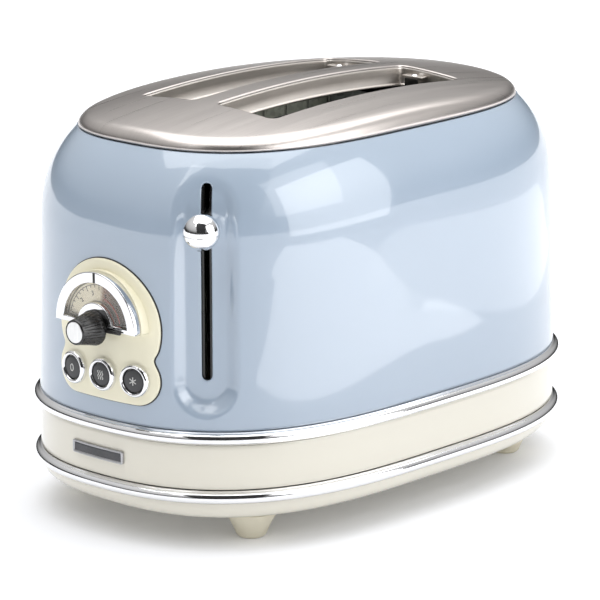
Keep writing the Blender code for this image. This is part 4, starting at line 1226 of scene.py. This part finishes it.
def make_elements():
    """Flat resistance ribbon wound level round each mica card."""
    for tag in ("left", "centre", "right"):
        low, high = local_box(f"heating_element_{tag}")
        middle = (low + high) / 2
        half, top, bottom = (high.y - low.y) / 2, high.z - RIBBON_MARGIN, low.z + RIBBON_MARGIN
        pitch = (top - bottom) / (RIBBON_TURNS - 1)
        verts, faces = [], []
        for side in (-1, 1):
            x = side * ((high.x - low.x) / 2 + 0.00012)
            for i in range(RIBBON_TURNS):
                start = len(verts)
                for y, z in ((-half + 0.001, bottom + pitch * i),
                             (half - 0.001, bottom + pitch * (i + 0.5))):
                    for out, rise in ((0.0, -1), (0.0001, -1), (0.0001, 1), (0.0, 1)):
                        verts.append((x + side * out, y, z + rise * RIBBON_HALF_WIDTH))
                faces += [(start + a, start + (a + 1) % 4, start + 4 + (a + 1) % 4, start + 4 + a)
                          for a in range(4)]
                faces += [tuple(start + a for a in range(4)), tuple(start + 4 + a for a in range(4))]
        mesh = mesh_of("ribbon", verts, faces, smooth=False)
        make_piece(f"element_ribbon_{tag}", mesh, WIRE,
                   location=(middle.x, middle.y, 0))


def make_inlet():
    """The moulded cord inlet on the rear wall, with a stepped rim and a deep bore."""
    low, high = local_box("cord_inlet")
    middle = (low + high) / 2
    rear = CASING_LENGTH - BODY_LEAN * (middle.z - BODY_BOTTOM)
    radius = (high.x - low.x) / 2
    profile = [(0.0, -0.0100), (0.0034, -0.0100), (0.0034, 0.0026), (0.0036, 0.0031),
               (0.0041, 0.0033), (0.0047, 0.0031), (0.0051, 0.0026), (0.0054, 0.0018), (0.0060, 0.0015),
               (0.0070, 0.0014), (radius - 0.0003, 0.0010), (radius, 0.0005), (radius, -0.0002)]
    make_piece("cord_inlet_bush", turned_mesh("inlet", profile, 72), BLACK,
               replaces=["cord_inlet"],
               location=(middle.x, rear, middle.z), rotation=facing((0, 1, 0)))


GRIP_HALF_WIDTH = 0.020


def make_tray_grip():
    """A raised finger lip on the crumb tray's front, at the rear of the band."""
    z_low = local_box("crumb_tray")[0].z
    rows = []
    for out, rise in ((0.0, 0.0040), (0.0009, 0.0042), (0.0020, 0.0052), (0.0026, 0.0066),
                      (0.0024, 0.0078), (0.0016, 0.0084), (0.0007, 0.0085), (0.0, 0.0085)):
        row = []
        for i in range(41):
            x = GRIP_HALF_WIDTH * (i / 20 - 1)
            fade = math.sqrt(max(0.0, 1 - (abs(x) / (GRIP_HALF_WIDTH + 0.0001)) ** 8))
            row.append((x, -front_y(x, 0.0, BODY_BOTTOM) + out * fade, z_low + rise))
        rows.append(row)
    mesh = grid_mesh("tray_grip", rows, closed=False, sharp=60)
    make_piece("crumb_tray_grip", mesh, CREAM, "crumb_drawer")


# ---------------------------------------------------------------- finishes of the CAD pieces
FINISH_OF_SLOT = {
    "body_paint": BLUE, "cream_paint": CREAM, "cream_plastic": PANEL_CREAM,
    "trim_chrome": CHROME, "plate_steel": PLATE, "sheet_steel": SHEET, "black_plastic": BLACK,
    "grey_plastic": GREY, "pewter": PEWTER, "silver_cap": SILVER, "scale_print": SCALE,
    "clear_window": CLEAR, "mica": MICA, "board": BOARD, "copper": COPPER,
}


def finish_cad_nodes():
    slots = {part["node"]: part["material_slot"] for part in frame["record"]["subparts"]}
    for name, node in frame["nodes"].items():
        finish = FINISH_OF_SLOT[slots[name]]
        if name.startswith("reflector"):
            finish = REFLECTOR
        if not node.material_slots:
            node.data.materials.append(finish)
        for place in node.material_slots:
            place.material = finish


# ---------------------------------------------------------------- stage, lights, camera
LIT_POINT = Vector((0, 0, 0.10))
CAMERA_AZIMUTH, CAMERA_ELEVATION, CAMERA_ROLL = 42.68, 14.14, -0.228     # degrees
CAMERA_DISTANCE = 1.869
CAMERA_TARGET = CASING + Vector((-0.0007, -0.0010, 0.0955))
CAMERA_LENS, CAMERA_SENSOR = 214.0, 36.0                                 # millimetres


def make_stage():
    """A pale floor that glows towards white far from the toaster."""
    mesh = bpy.data.meshes.new("floor")
    bm = bmesh.new()
    bmesh.ops.create_grid(bm, x_segments=4, y_segments=4, size=14.0)
    bm.to_mesh(mesh)
    bm.free()
    floor = bpy.data.objects.new("floor", mesh)
    bpy.context.scene.collection.objects.link(floor)
    floor.location = (0, 0, -0.0002)
    shader = Shader("studio_floor", (0.875, 0.885, 0.915), 0.75)
    shader.put(**{"Specular IOR Level": 0.2, "Emission Color": (1.0, 1.0, 1.0, 1.0),
                  "Emission Strength": 0.10})
    distance = shader.tree.nodes.new("ShaderNodeVectorMath")
    distance.operation = "LENGTH"
    shader.tree.links.new(shader.place, distance.inputs[0])
    glow = shader.spread(distance.outputs["Value"], 0.09, 0.80, 0.45, 2.6)
    shader.link("Emission Strength", glow)
    mesh.materials.append(shader.material)


def direction(azimuth, elevation):
    """Away from the toaster, by azimuth as for the camera and elevation, in degrees."""
    a, e = math.radians(azimuth), math.radians(elevation)
    return Vector((math.sin(a) * math.cos(e), -math.cos(a) * math.cos(e), math.sin(e)))


def dark_flag(name, azimuth, elevation, distance, size):
    """A black card that the bright trims mirror. It isn't seen itself."""
    mesh = bpy.data.meshes.new(name)
    bm = bmesh.new()
    bmesh.ops.create_grid(bm, x_segments=1, y_segments=1, size=0.5)
    bmesh.ops.scale(bm, vec=(*size, 1), verts=bm.verts)
    bm.to_mesh(mesh)
    bm.free()
    flag = bpy.data.objects.new(name, mesh)
    bpy.context.scene.collection.objects.link(flag)
    away = direction(azimuth, elevation)
    flag.location = LIT_POINT + away * distance
    flag.rotation_mode = "QUATERNION"
    flag.rotation_quaternion = away.to_track_quat("Z", "Y")
    flag.visible_camera = False
    flag.visible_diffuse = False
    flag.visible_shadow = False
    mesh.materials.append(Shader(name, (0.01, 0.01, 0.01), 0.9).material)


def area_light(name, azimuth, elevation, distance, size, power):
    """A soft box that looks at the toaster."""
    light = bpy.data.lights.new(name, "AREA")
    light.shape = "RECTANGLE"
    light.size, light.size_y = size
    light.energy = power
    obj = bpy.data.objects.new(name, light)
    bpy.context.scene.collection.objects.link(obj)
    away = direction(azimuth, elevation)
    obj.location = LIT_POINT + away * distance
    obj.rotation_mode = "QUATERNION"
    obj.rotation_quaternion = away.to_track_quat("Z", "Y")
    obj.visible_camera = False
    return obj


def floor_light(name, azimuth, distance, size, power):
    """A lit board that lies on the floor and looks up."""
    board = area_light(name, azimuth, 0.0, distance, size, power)
    board.location.z = 0.003
    board.rotation_quaternion = (Matrix.Rotation(math.radians(azimuth), 4, "Z")
                                 @ Matrix.Rotation(math.pi, 4, "X")).to_quaternion()


def make_lights():
    """A pale sky, soft boxes, lit boards on the floor, and dark flags for the chrome."""
    world = bpy.data.worlds.new("studio")
    bpy.context.scene.world = world
    world.use_nodes = True
    tree = world.node_tree
    back = tree.nodes["Background"]
    place = tree.nodes.new("ShaderNodeTexCoord")
    parts = tree.nodes.new("ShaderNodeSeparateXYZ")
    ramp = tree.nodes.new("ShaderNodeValToRGB")
    tree.links.new(place.outputs["Generated"], parts.inputs["Vector"])
    tree.links.new(parts.outputs["Z"], ramp.inputs["Fac"])
    tree.links.new(ramp.outputs["Color"], back.inputs["Color"])
    set_ramp(ramp, [(0.0, 0.04), (0.10, 0.04), (0.32, 0.65), (0.65, 1.0)])
    back.inputs["Strength"].default_value = 0.74
    area_light("key_box", 97, 30, 1.3, (0.85, 0.8), 2.7)
    gloss = area_light("gloss_box", 108, 19, 1.3, (1.05, 0.95), 7.0)
    gloss.visible_diffuse = False
    area_light("front_box", 10, 55, 1.8, (0.7, 0.7), 3.0)
    area_light("top_box", 200, 80, 1.4, (1.9, 1.9), 23)
    floor_light("side_board", 98, 0.80, (0.62, 0.85), 2.6)
    floor_light("rear_board", 150, 0.75, (0.70, 0.50), 0.8)
    dark_flag("camera_flag", 43, 38, 1.5, (1.5, 2.2))
    dark_flag("left_flag", -62, 6, 1.6, (0.9, 0.28))


def make_camera():
    """A long lens, above and to the right of the dial end."""
    azimuth, roll = math.radians(CAMERA_AZIMUTH), math.radians(CAMERA_ROLL)
    camera = bpy.data.cameras.new("camera")
    camera.sensor_width = CAMERA_SENSOR
    camera.lens = CAMERA_LENS
    camera.clip_start, camera.clip_end = 0.05, 60.0
    obj = bpy.data.objects.new("camera", camera)
    bpy.context.scene.collection.objects.link(obj)
    back = direction(CAMERA_AZIMUTH, CAMERA_ELEVATION)
    obj.location = CAMERA_TARGET + back * CAMERA_DISTANCE
    obj.rotation_mode = "QUATERNION"
    right = Vector((math.cos(azimuth), math.sin(azimuth), 0))
    up = back.cross(right)
    turned_right = right * math.cos(roll) + up * math.sin(roll)
    turned_up = back.cross(turned_right)
    obj.rotation_quaternion = Matrix((turned_right, turned_up, back)).transposed().to_quaternion()
    bpy.context.scene.camera = obj


make_camera()
make_body()
make_slot_guard()
make_top_plate()
make_trims()
make_band()
make_pan()
make_feet()
make_panel()
make_dial()
make_knob()
make_buttons()
make_badge()
make_lever_ball()
make_bread_guides()
make_elements()
make_inlet()
make_tray_grip()
finish_cad_nodes()
make_stage()
make_lights()
bpy.context.scene.view_settings.view_transform = "Standard"
